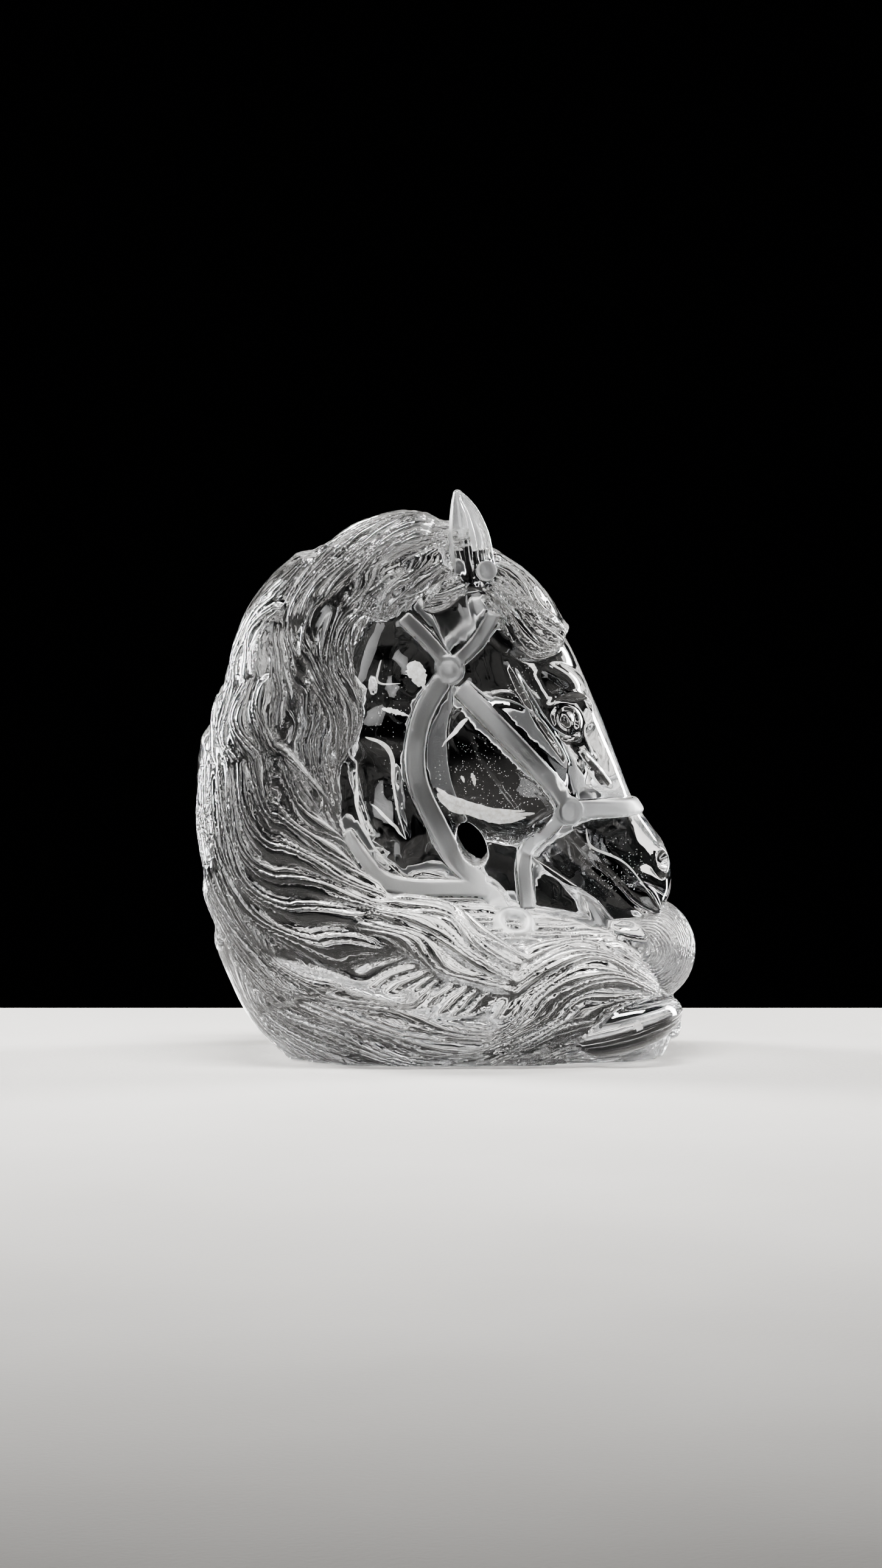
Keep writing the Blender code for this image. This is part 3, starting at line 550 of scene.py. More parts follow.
@dataclass
class Mane:
    """The mane from the poll round the crest and the foot to the curl.

    Attributes:
        stations: Inner edge x z, outer edge x z and half depth, from poll to curl.
        rim: Squareness of the section's outer half.
        neck_edge: Squareness of its inner half.
        sheaves: Sheaves in the order in which they lie on each other.
        far_side_shift: How much further on the far side's sheaves lie.
        furrows: Hair lines of the undercoat round one side.
        furrow_depth: Their depth in metres.
        furrow_sharpness: Under 1, they are sharp and the hair between them round.
        folds: Broad folds of the undercoat round one side.
        fold_depth: Their depth in metres.
        fold_sharpness: Under 1, they are sharp.
        drift: How fast they drift from the rim to the neck edge.
        sway: How far they wave.
        bare_edge: Turn from the neck edge over which the hair lines come up.
        bare_height: Height of the hair at that edge, as a share of its full height.
        hair: How the sheaves are cut.
        steps: Rings of the skin.
        around: Places on each ring.
        seed: Start of the random draws.
    """

    stations: tuple = (
        (2.4, 83.7, 0.3, 94.6, 8.5),
        (-4.9, 80.5, -9.2, 95.0, 10.5),
        (-10.3, 77.8, -18.4, 92.6, 12.5),
        (-14.6, 74.1, -27.8, 86.0, 14.5),
        (-15.7, 67.0, -34.6, 78.0, 16.0),
        (-14.6, 60.5, -39.6, 67.0, 17.5),
        (-17.8, 53.0, -42.3, 56.2, 19.0),
        (-17.3, 43.2, -43.6, 42.2, 20.5),
        (-14.6, 34.6, -43.0, 29.2, 21.5),
        (-8.1, 30.3, -38.6, 16.6, 22.5),
        (0.0, 29.2, -32.0, 4.5, 23.0),
        (7.0, 27.6, -19.5, -4.5, 23.0),
        (14.6, 25.9, -2.5, -6.0, 22.5),
        (22.2, 24.3, 13.5, -6.0, 21.5),
        (29.7, 21.6, 27.0, -5.0, 19.5),
        (34.6, 17.8, 36.6, -2.0, 15.5),
        (37.0, 13.0, 39.8, 2.5, 10.0),
    )
    rim: float = 2.4
    neck_edge: float = 3.6
    sheaves: tuple[Sheaf, ...] = (
        Sheaf(
            2,
            ((2.6, 1.20), (3.6, 1.05), (4.6, 0.92), (5.4, 0.70)),
            ((2.4, 0.75), (3.4, 0.55), (4.4, 0.45), (5.3, 0.30)),
        ),
        Sheaf(
            3,
            ((5.8, 1.15), (6.8, 1.00), (7.9, 0.90), (9.4, 0.84)),
            ((5.6, 0.55), (6.8, 0.35), (8.0, 0.20), (9.3, 0.05)),
        ),
        Sheaf(
            3,
            ((8.2, 1.22), (9.4, 1.10), (10.8, 1.02), (12.4, 0.97)),
            ((8.6, 0.75), (9.8, 0.60), (11.0, 0.45), (12.2, 0.40)),
        ),
        Sheaf(
            5,
            ((0.1, 1.10), (1.4, 0.98), (2.6, 0.80), (3.9, 0.55)),
            ((0.5, 0.35), (1.6, -0.05), (2.5, -0.45), (3.7, -0.62)),
        ),
        Sheaf(
            4,
            ((0.3, 0.30), (1.2, -0.05), (1.9, -0.50), (2.6, -0.92)),
            ((0.0, -0.70), (0.5, -0.80), (1.0, -0.88), (1.6, -0.97)),
        ),
        Sheaf(
            4,
            ((3.0, 0.35), (4.2, 0.10), (5.2, -0.40), (6.5, -0.93)),
            ((2.2, -0.75), (3.2, -0.80), (4.4, -0.93), (5.6, -0.95)),
        ),
        Sheaf(
            2,
            ((3.4, 0.80), (4.2, 0.98), (5.0, 0.92), (5.5, 0.62)),
            ((3.5, 0.40), (4.1, 0.60), (4.6, 0.62), (4.9, 0.45)),
        ),
        Sheaf(
            4,
            ((5.2, 0.95), (5.8, 0.95), (6.5, 0.80), (7.2, 0.50)),
            ((4.6, 0.35), (5.3, 0.10), (6.0, -0.35), (6.8, -0.85)),
        ),
        Sheaf(
            6,
            ((6.3, 0.88), (7.6, 0.72), (9.0, 0.40), (10.4, -0.30)),
            ((5.9, 0.00), (6.7, -0.52), (7.4, -0.88), (8.6, -0.97)),
        ),
        Sheaf(
            3,
            ((7.6, 0.97), (9.2, 0.85), (10.4, 0.55), (12.0, 0.20)),
            ((7.4, 0.68), (8.7, 0.52), (9.8, 0.15), (11.2, -0.20)),
        ),
        Sheaf(
            4,
            ((9.0, -0.25), (10.2, -0.28), (11.4, -0.22), (12.9, -0.05)),
            ((8.9, -0.92), (10.2, -0.93), (11.4, -0.80), (12.8, -0.50)),
        ),
        Sheaf(
            5,
            ((9.4, 0.98), (10.6, 0.92), (11.9, 0.90), (13.5, 0.55)),
            ((9.8, 0.20), (10.8, 0.00), (11.9, 0.05), (13.3, -0.20)),
        ),
        Sheaf(
            4,
            ((12.2, 0.70), (13.2, 0.40), (14.3, 0.00), (15.6, -0.25)),
            ((12.0, -0.75), (13.2, -0.88), (14.4, -0.85), (15.5, -0.70)),
        ),
    )
    far_side_shift: float = 0.25
    furrows: int = 34
    furrow_depth: float = 0.0005
    furrow_sharpness: float = 0.7
    folds: int = 9
    fold_depth: float = 0.001
    fold_sharpness: float = 0.8
    drift: float = 0.3
    sway: float = 0.10
    bare_edge: float = 0.55
    bare_height: float = 0.15
    hair: Hair = Hair()
    steps: int = 720
    around: int = 460
    seed: int = 7

    def place(self, along: np.ndarray, turn: np.ndarray) -> np.ndarray:
        """Places on the plain mane, at shares along it and turns round its section, in metres."""
        row = blend(self.stations, along)
        square = np.where(np.cos(turn) > 0, self.rim, self.neck_edge)
        across = np.sign(np.cos(turn)) * np.abs(np.cos(turn)) ** (2 / square)
        aside = np.sign(np.sin(turn)) * np.abs(np.sin(turn)) ** (2 / square)
        x = (row[..., 0] + row[..., 2]) / 2 + (row[..., 2] - row[..., 0]) / 2 * across
        z = (row[..., 1] + row[..., 3]) / 2 + (row[..., 3] - row[..., 1]) / 2 * across
        return np.stack([x * UNIT, row[..., 4] * aside * GRID.across, z * UNIT], axis=-1)

    def comb(self, skin: Skin) -> None:
        """Cuts the undercoat's hair lines along the mane's flow."""
        steps, around = skin.rise.shape
        along = np.linspace(0, len(self.stations) - 1, steps)[:, None]
        turn = np.linspace(0, 2 * math.pi, around, endpoint=False)[None, :]
        share = 1 - (1 - self.hair.far_share) * smooth_step(4 * np.sin(turn))
        turn = np.minimum(turn, 2 * math.pi - turn)
        flow = turn - self.drift * along + self.sway * np.sin(1.7 * along + 2 * turn)
        flow = flow + 0.012 * np.sin(9 * along + 7 * turn)
        line = 1 - np.abs(np.sin(self.furrows * flow)) ** self.furrow_sharpness
        fold = 1 - np.abs(np.sin(self.folds * flow)) ** self.fold_sharpness
        skin.rise -= share * self.furrow_depth * line
        skin.rise -= self.fold_depth * fold
        skin.strand += self.furrows * flow / math.pi
        skin.comb += share

    def build(self) -> bpy.types.Object:
        """Builds the mane with its sheaves on both sides."""
        along = np.linspace(0, len(self.stations) - 1, self.steps)
        turn = np.linspace(0, 2 * math.pi, self.around, endpoint=False)
        rings = self.place(along[:, None], turn[None, :])
        skin = Skin(domed(rings, 3 * UNIT, 3 * UNIT), Cut.HAIR)
        self.comb(skin)
        draws = np.random.default_rng(self.seed)
        extra = (skin.rise.shape[0] - self.steps) // 2
        grain = np.array([along[1], turn[1]]) / 1.5
        reach = along[1] * np.arange(-extra, self.steps + extra)
        for side in Side:
            wrapped = (side.value * turn + math.pi) % (2 * math.pi) - math.pi
            places = np.stack(np.broadcast_arrays(reach[:, None], wrapped[None, :]), axis=-1)
            for sheaf in self.sheaves:
                first, last = np.array(sheaf.first), np.array(sheaf.last)
                for guide in (first, last):
                    guide[:, 0] += self.far_side_shift * (side is Side.FAR)
                    guide[:, 1] = turn_of(guide[:, 1], self.rim, self.neck_edge)
                across, share = spread(first, last, places, grain)
                borders = [self.place(guide[:, 0], guide[:, 1]) for guide in (first, last)]
                width = np.linalg.norm(borders[0] - borders[1], axis=1).mean()
                phase = draws.uniform(0, 2 * math.pi)
                skin.lay_sheaf(across, share, sheaf.locks, width, self.hair, phase, side)
        from_edge = np.abs(np.abs(turn) - math.pi)
        bare = smooth_step(from_edge / self.bare_edge)[None, :]
        skin.rise *= self.bare_height + (1 - self.bare_height) * bare
        skin.comb *= bare
        return skin.mesh("mane")


@dataclass
class Head:
    """The head from poll to lips, with its features and the forelock.

    Attributes:
        stations: Nose line x z, jaw line x z, and half widths at nose, middle and jaw.
        squareness: Under 1, the flat of the face is broad and its edges are tight.
        width_places: Where those half widths hold, as shares from nose to jaw.
        jowl: Middle, radii, tilt and rise of the round cheek.
        swell: The same of the swelling below the poll.
        brow: The same of the bone over the eye.
        nostril: The same of the rim round the nostril.
        nostril_share: Size of the hollow in it, as a share of the rim's.
        nostril_depth: Depth of that hollow in guide units, below nought.
        lip: Middle, radii, tilt and rise of the upper lip.
        chin: The same of the chin.
        ridge: The bone from eye to cheek, in profile.
        ridge_half_width: Its half width in guide units.
        ridge_rise: Its height in guide units.
        mouth: The slit between the lips, in profile.
        mouth_half_width: Its half width in guide units.
        mouth_depth: Its depth in guide units, below nought.
        creases: Folds of the lids and of the skin below the eye, in profile.
        crease_half_width: Their half width in guide units.
        crease_rise: Their height in guide units.
        forelock: Its sheaves, in profile.
        hair: How they are cut.
        haze: Middle, radii, tilt and finish of the less polished ground under the forelock.
        grain: Fineness in guide units with which the sheaves are found.
        steps: Rings of the skin.
        around: Places on each ring.
    """

    stations: tuple = (
        (5.9, 89.2, -4.9, 77.8, 7.0, 9.0, 9.0),
        (13.5, 84.3, -4.9, 65.9, 10.0, 11.0, 10.0),
        (20.5, 74.6, -4.9, 54.1, 11.5, 12.5, 11.0),
        (24.9, 65.4, -3.2, 45.4, 12.0, 13.0, 11.5),
        (27.8, 58.4, 1.1, 40.0, 10.5, 12.5, 11.0),
        (30.3, 51.9, 8.1, 37.3, 8.5, 11.0, 10.0),
        (32.8, 45.4, 13.0, 33.5, 7.4, 9.5, 8.0),
        (35.7, 41.1, 18.4, 28.6, 7.0, 8.5, 7.0),
        (38.4, 37.3, 23.2, 24.9, 7.6, 8.2, 6.4),
        (39.7, 33.0, 28.6, 22.2, 8.0, 8.0, 6.2),
        (39.5, 28.6, 33.5, 21.6, 7.2, 7.2, 5.5),
        (38.2, 26.6, 35.7, 22.9, 4.5, 5.0, 4.0),
    )
    squareness: float = 0.62
    width_places: tuple[float, float, float] = (0.12, 0.5, 0.88)
    jowl: tuple = ((8.1, 50.2), (13.0, 13.0), 0.0, 2.2)
    swell: tuple = ((12.5, 80.5), (8.5, 11.0), math.radians(30), 1.6)
    brow: tuple = ((20.3, 66.4), (4.6, 2.8), math.radians(-35), 1.5)
    nostril: tuple = ((37.7, 34.6), (1.7, 3.3), math.radians(12), 0.8)
    nostril_share: float = 0.55
    nostril_depth: float = -1.8
    lip: tuple = ((34.6, 28.6), (4.2, 2.6), math.radians(-35), 0.7)
    chin: tuple = ((29.0, 25.6), (3.6, 2.4), math.radians(-20), 0.6)
    ridge: Path = ((10.2, 71.1), (13.1, 65.1), (15.5, 60.8), (18.6, 55.9), (22.0, 50.5))
    ridge_half_width: float = 1.1
    ridge_rise: float = 1.0
    mouth: Path = ((37.6, 24.6), (33.0, 27.0), (28.6, 31.4), (24.9, 34.6))
    mouth_half_width: float = 0.7
    mouth_depth: float = -0.9
    creases: tuple = (
        ((17.2, 62.4), (20.5, 64.2), (24.1, 63.6), (25.8, 60.8)),
        ((18.0, 58.4), (20.6, 56.6), (23.2, 57.2)),
        ((23.0, 54.6), (26.4, 51.0), (29.0, 47.6)),
    )
    crease_half_width: float = 0.55
    crease_rise: float = 0.55
    forelock: tuple[Sheaf, ...] = (
        Sheaf(
            6,
            ((3.5, 90.5), (10.0, 91.0), (16.5, 87.0), (20.6, 80.5), (20.6, 74.0)),
            ((6.0, 81.0), (8.6, 75.7), (11.4, 72.2), (15.7, 70.4), (19.6, 71.6)),
        ),
        Sheaf(
            3,
            ((0.0, 84.5), (4.0, 86.0), (9.0, 84.5), (14.0, 80.0), (19.5, 75.5)),
            ((-7.0, 77.6), (-1.0, 79.0), (3.0, 82.0), (8.0, 82.0), (13.5, 77.5)),
        ),
    )
    hair: Hair = Hair(rise=0.0016, lock_depth=0.0008)
    haze: tuple = ((2.5, 75.5), (7.0, 3.4), 0.0, 0.7)
    grain: float = 0.1
    steps: int = 420
    around: int = 340

    def rings(self) -> np.ndarray:
        """The plain head's rings, from poll to lips."""
        rows = blend(self.stations, np.linspace(0, len(self.stations) - 1, self.steps))
        angle = np.linspace(0, 2 * math.pi, self.around, endpoint=False)
        share = (1 - np.cos(angle)) / 2
        width = np.stack([np.interp(share, self.width_places, row[4:7]) for row in rows])
        rings = np.empty((self.steps, self.around, 3))
        rings[..., 0] = (rows[:, 0, None] * (1 - share) + rows[:, 2, None] * share) * UNIT
        rings[..., 2] = (rows[:, 1, None] * (1 - share) + rows[:, 3, None] * share) * UNIT
        bow = np.sign(np.sin(angle)) * np.abs(np.sin(angle)) ** self.squareness
        rings[..., 1] = -bow * width * GRID.across
        return rings

    def build(self) -> bpy.types.Object:
        """Builds the head, alike on both sides."""
        skin = Skin(domed(self.rings(), 2.5 * UNIT, 1.2 * UNIT), Cut.POLISHED)
        for side in Side:
            skin.bulge(*self.jowl, side, power=0.5)
            skin.bulge(*self.swell, side, power=0.6)
            for feature in (self.brow, self.lip, self.chin, self.nostril):
                skin.bulge(*feature, side)
            middle, radii, tilt, _ = self.nostril
            hollow = (radii[0] * self.nostril_share, radii[1] * self.nostril_share)
            skin.bulge(middle, hollow, tilt, self.nostril_depth, side)
            skin.line(skin.trace(self.ridge, side), self.ridge_half_width * UNIT, self.ridge_rise * UNIT)
            skin.line(skin.trace(self.mouth, side), self.mouth_half_width * UNIT, self.mouth_depth * UNIT)
            for crease in self.creases:
                skin.line(skin.trace(crease, side), self.crease_half_width * UNIT, self.crease_rise * UNIT)
            hidden = skin.normal[..., 1:2] * side.value < -0.3
            profile = np.where(hidden, -1e6, skin.base[..., [0, 2]] / UNIT)
            for sheaf in self.forelock:
                across, along = spread(sheaf.first, sheaf.last, profile, np.array([self.grain, self.grain]))
                borders = [path_through(guide, 9) for guide in (sheaf.first, sheaf.last)]
                width = np.linalg.norm(borders[0] - borders[1], axis=1).mean() * UNIT
                skin.lay_sheaf(across, along, sheaf.locks, width, self.hair, sheaf.locks, side)
            skin.haze(*self.haze, side)
        return skin.mesh("head")


@dataclass
class Neck:
    """The polished neck and the thin web that joins it to jaw and base.

    Attributes:
        stations: Centre x z, half thickness in profile and half depth, foot to crown.
        squareness: Over 2, the neck's sides are flat.
        web: Outline of the web in profile.
        web_half_depth: Half its thickness in guide units.
        web_round: How far its edges are rounded, in metres.
        muscles: Low swellings and hollows of the neck: middle, radii, tilt and rise.
        creases: Creases between them, in profile.
        crease_half_width: Half width of a crease in guide units.
        crease_depth: Its depth in guide units, below nought.
        steps: Rings of the skin.
        around: Places on each ring.
    """

    stations: tuple = (
        (-10.0, 12.0, 19.0, 16.5),
        (-11.0, 30.0, 18.0, 15.2),
        (-11.0, 48.0, 15.5, 13.8),
        (-9.5, 63.0, 13.0, 12.6),
        (-5.5, 73.5, 12.0, 10.2),
        (-1.0, 80.0, 8.5, 7.0),
    )
    squareness: float = 3.4
    web: Path = ((-10, 52), (0, 44), (10, 40), (22, 32), (31, 26), (30, 16), (0, 22), (-12, 24))
    web_half_depth: float = 8.0
    web_round: float = 0.005
    muscles: tuple = (
        ((-5.5, 68.5), (4.0, 5.0), math.radians(20), 0.9),
        ((-11.0, 67.0), (2.6, 3.6), math.radians(-20), -0.8),
        ((-9.5, 58.5), (6.0, 4.6), math.radians(15), 0.7),
        ((-12.5, 49.0), (4.5, 8.0), math.radians(22), -0.9),
        ((-8.0, 42.0), (4.0, 8.5), math.radians(18), 0.9),
        ((-3.0, 36.0), (5.0, 4.0), 0.0, -0.7),
    )
    creases: tuple = (
        ((-16.0, 52.8), (-14.8, 46.0), (-12.0, 39.0), (-7.1, 32.4)),
        ((-10.2, 54.4), (-9.4, 49.0), (-8.4, 44.0), (-7.1, 39.2)),
    )
    crease_half_width: float = 0.9
    crease_depth: float = -0.8
    steps: int = 200
    around: int = 260

    def build(self) -> list[bpy.types.Object]:
        """Builds the neck and the web."""
        rows = path_through(self.stations, self.steps)
        rings = oval_rings(rows, self.around, square=self.squareness)
        skin = Skin(domed(rings, 2 * UNIT, 2 * UNIT), Cut.POLISHED)
        for side in Side:
            for muscle in self.muscles:
                skin.bulge(*muscle, side)
            for crease in self.creases:
                skin.line(skin.trace(crease, side), self.crease_half_width * UNIT, self.crease_depth * UNIT)
        return [skin.mesh("neck"), self.build_web()]

    def build_web(self) -> bpy.types.Object:
        """Builds the web: a face through the outline's points, extruded through its depth and rounded."""
        web = added(bpy.ops.mesh.primitive_circle_add, vertices=len(self.web), fill_type="NGON")
        web.name = "web"
        carry(web, finish=Cut.POLISHED.value)
        for vertex, (x, z) in zip(web.data.vertices, self.web):
            vertex.co = GRID.place(x, -self.web_half_depth, z)
        through = 2 * self.web_half_depth * GRID.across
        with editing(web):
            bpy.ops.mesh.extrude_region_move(TRANSFORM_OT_translate={"value": (0, through, 0)})
            bpy.ops.mesh.select_all(action="SELECT")
            bpy.ops.mesh.normals_make_consistent(inside=False)
        apply_modifier(web, "BEVEL", width=self.web_round, segments=10, limit_method="ANGLE")
        return web


@dataclass
class Ears:
    """Both ears: leaves that lean back, hollow in front.

    Attributes:
        stations: Centre x z, half width in profile and half thickness, from root to tip.
        aside: How far each ear stands from the middle, in guide units.
        hollow: Depth of the hollow in metres.
        hollow_way: Which way it faces, forwards and to the side.
        hollow_edge: Where it starts and how soft its edge is, as shares of the way it faces.
        hollow_ends: Share of the ear's length over which it comes up, its end and how soft that is.
        matt_edge: Where the matt back starts and how soft its edge is.
        folds: Folds round the hollow.
        fold_depth: Their depth as a share of the hollow's.
        hairs: Hair lines round it.
        steps: Rings of the skin.
        around: Places on each ring.
    """

    stations: tuple = (
        (5.0, 83.0, 4.0, 3.0),
        (4.5, 87.5, 3.9, 2.9),
        (3.9, 91.5, 3.7, 2.5),
        (3.1, 95.2, 2.9, 2.0),
        (2.2, 98.0, 1.7, 1.3),
        (1.7, 99.4, 0.8, 0.7),
    )
    aside: float = 7.6
    hollow: float = 0.0011
    hollow_way: Pair = (0.75, 0.66)
    hollow_edge: Pair = (0.45, 0.4)
    hollow_ends: tuple[float, float, float] = (0.3, 0.93, 0.15)
    matt_edge: Pair = (0.15, 0.3)
    folds: int = 9
    fold_depth: float = 0.25
    hairs: int = 12
    steps: int = 110
    around: int = 120

    def build(self) -> list[bpy.types.Object]:
        """Builds both ears."""
        ears = []
        start, soft = self.hollow_edge
        root, tip, tip_soft = self.hollow_ends
        for side in Side:
            rows = path_through(self.stations, self.steps)
            rings = oval_rings(rows, self.around, np.full(len(rows), side.value * self.aside))
            skin = Skin(domed(rings, 1 * UNIT, 0.6 * UNIT), Cut.POLISHED)
            share = np.linspace(0, 1, skin.rise.shape[0])[:, None]
            forwards, outwards = skin.normal[..., 0], skin.normal[..., 1] * side.value
            facing = forwards * self.hollow_way[0] + outwards * self.hollow_way[1]
            scoop = smooth_step((facing - start) / soft) * smooth_step(share / root)
            scoop = scoop * smooth_step((tip - share) / tip_soft)
            turn = np.arctan2(outwards, forwards)
            skin.rise -= self.hollow * scoop * (0.8 + self.fold_depth * np.abs(np.sin(self.folds * turn)))
            skin.strand += self.hairs / math.pi * turn
            skin.comb += scoop
            back = smooth_step((self.matt_edge[0] - facing) / self.matt_edge[1])
            skin.finish = skin.finish * (1 - back) + Cut.MATT.value * back
            ears.append(skin.mesh(f"ear_{side.name.lower()}"))
        return ears


@dataclass
class Curl:
    """The lock that rolls up in front of the lips.

    Attributes:
        stations: Centre x z, half thickness, half depth and offset to the far side.
        hairs: Hair lines round it.
        depth: Their depth in metres.
        sharpness: Under 1, they are sharp and the hair between them round.
        steps: Rings of the skin.
        around: Places on each ring.
    """

    stations: tuple = (
        (27.0, 13.0, 6.0, 13.0, 1.0),
        (33.5, 13.4, 5.8, 12.5, 1.0),
        (37.8, 15.8, 5.6, 12.0, 1.0),
        (38.9, 19.6, 5.2, 11.0, 1.0),
        (36.8, 23.0, 4.4, 9.0, 1.0),
        (32.5, 23.5, 3.0, 7.0, 0.5),
    )
    hairs: int = 52
    depth: float = 0.0002
    sharpness: float = 0.65
    steps: int = 200
    around: int = 260

    def build(self) -> bpy.types.Object:
        """Builds the curl."""
        rows = path_through(self.stations, self.steps)
        skin = Skin(domed(oval_rings(rows, self.around, rows[:, 4]), 2 * UNIT, 3 * UNIT), Cut.HAIR)
        turn = np.linspace(0, 2 * math.pi, self.around, endpoint=False)[None, :]
        share = np.linspace(0, 1, skin.rise.shape[0])[:, None]
        flow = turn + 0.25 * np.sin(5 * share + turn) + 0.03 * np.sin(17 * share + 5 * turn)
        cut = np.abs(np.sin(self.hairs / 2 * flow)) ** self.sharpness
        ends = smooth_step(share / 0.1) * smooth_step((1 - share) / 0.12)
        skin.rise += self.depth * (cut - 1) * ends
        skin.strand += self.hairs / 2 * flow / math.pi
        skin.comb += ends
        return skin.mesh("curl")


@dataclass
class Foot:
    """The smooth lobes of the base.

    Attributes:
        lobes: Centre x y z, radii and tilt of each.
    """

    lobes: tuple = (
        ((30.2, -12.0, 6.4), (11.4, 10.5, 5.4), math.radians(-15)),
        ((29.0, 11.0, 6.4), (11.4, 10.0, 5.4), math.radians(-15)),
        ((-26.8, 6.0, 9.6), (9.6, 10.5, 9.6), 0.0),
        ((31.5, 0.5, 20.5), (6.0, 10.0, 5.0), 0.0),
    )

    def build(self) -> list[bpy.types.Object]:
        """Builds the lobes."""
        made = []
        for middle, radii, tilt in self.lobes:
            lobe = added(
                bpy.ops.mesh.primitive_uv_sphere_add,
                segments=96,
                ring_count=64,
                location=GRID.place(*middle),
                rotation=(0, tilt, 0),
            )
            lobe.scale = (radii[0] * UNIT, radii[1] * GRID.across, radii[2] * UNIT)
            apply_place(lobe)
            carry(lobe, finish=Cut.POLISHED.value)
            made.append(lobe)
        return made


class Surface:
    """The outside of a closed form, on which the bridle is laid and under which the painted highlight veils
    and the specks lie.
    """

    def __init__(self, form: bpy.types.Object) -> None:
        """Reads the form's faces."""
        self.tree = BVHTree.FromObject(form, bpy.context.evaluated_depsgraph_get())

    def below(self, x: float, z: float, side: Side) -> tuple[Vector, Vector]:
        """The point and the outward way of the form at a place in profile."""
        start = Vector((x * UNIT, side.value * GRID.depth, z * UNIT))
        point, normal, _, _ = self.tree.ray_cast(start, Vector((0, -side.value, 0)))
        if point is None:
            point, normal, _, _ = self.tree.find_nearest(start)
        return point, normal

    def towards(self, middle: Vector, way: Vector) -> tuple[Vector, Vector]:
        """The point and outward way of the form met on the way in to a middle place."""
        point, normal, _, _ = self.tree.ray_cast(middle + way * GRID.height, -way)
        return point, normal


def band(
    name: str,
    places: list[tuple[Vector, Vector]],
    widths: np.ndarray | float,
    rise: float,
    root: float,
    cut: Cut,
    rounds: int = 24,
) -> bpy.types.Object:
    """Builds a flat band with round edges along places on a surface.

    Args:
        name: Its name.
        places: Points with their outward ways.
        widths: Its width in metres, or one for each point.
        rise: How far it stands over the points, in metres.
        root: How far it goes below them.
        cut: How it is worked.
        rounds: Rounds of smoothing of its line.

    Returns:
        The band.
    """
    points = np.array([point for point, _ in places])
    normals = np.array([normal for _, normal in places])
    for _ in range(rounds):
        points[1:-1] = (points[:-2] + 2 * points[1:-1] + points[2:]) / 4
        normals[1:-1] = (normals[:-2] + 2 * normals[1:-1] + normals[2:]) / 4
    way = np.gradient(points, axis=0)
    sideways = np.cross(normals, way)
    sideways /= np.linalg.norm(sideways, axis=1, keepdims=True)
    normals /= np.linalg.norm(normals, axis=1, keepdims=True)
    angle = np.linspace(0, 2 * math.pi, BAND_ROUND, endpoint=False)
    across = np.sign(np.cos(angle)) * np.abs(np.cos(angle)) ** BAND_SQUARENESS / 2
    height = np.sign(np.sin(angle)) * np.abs(np.sin(angle)) ** BAND_SQUARENESS
    height = height * np.where(height > 0, rise, root)
    spans = np.broadcast_to(widths, len(points))[:, None] * across[None, :]
    rings = points[:, None, :] + sideways[:, None, :] * spans[..., None]
    rings = rings + normals[:, None, :] * height[None, :, None]
    return rolled(name, rings, finish=np.full(rings.shape[:2], cut.value))


@dataclass(frozen=True)
class Strap:
    """One strap of the bridle.

    Attributes:
        name: Its name.
        line: Its middle line in profile.
        width: Its width in metres.
    """

    name: str
    line: Path
    width: float


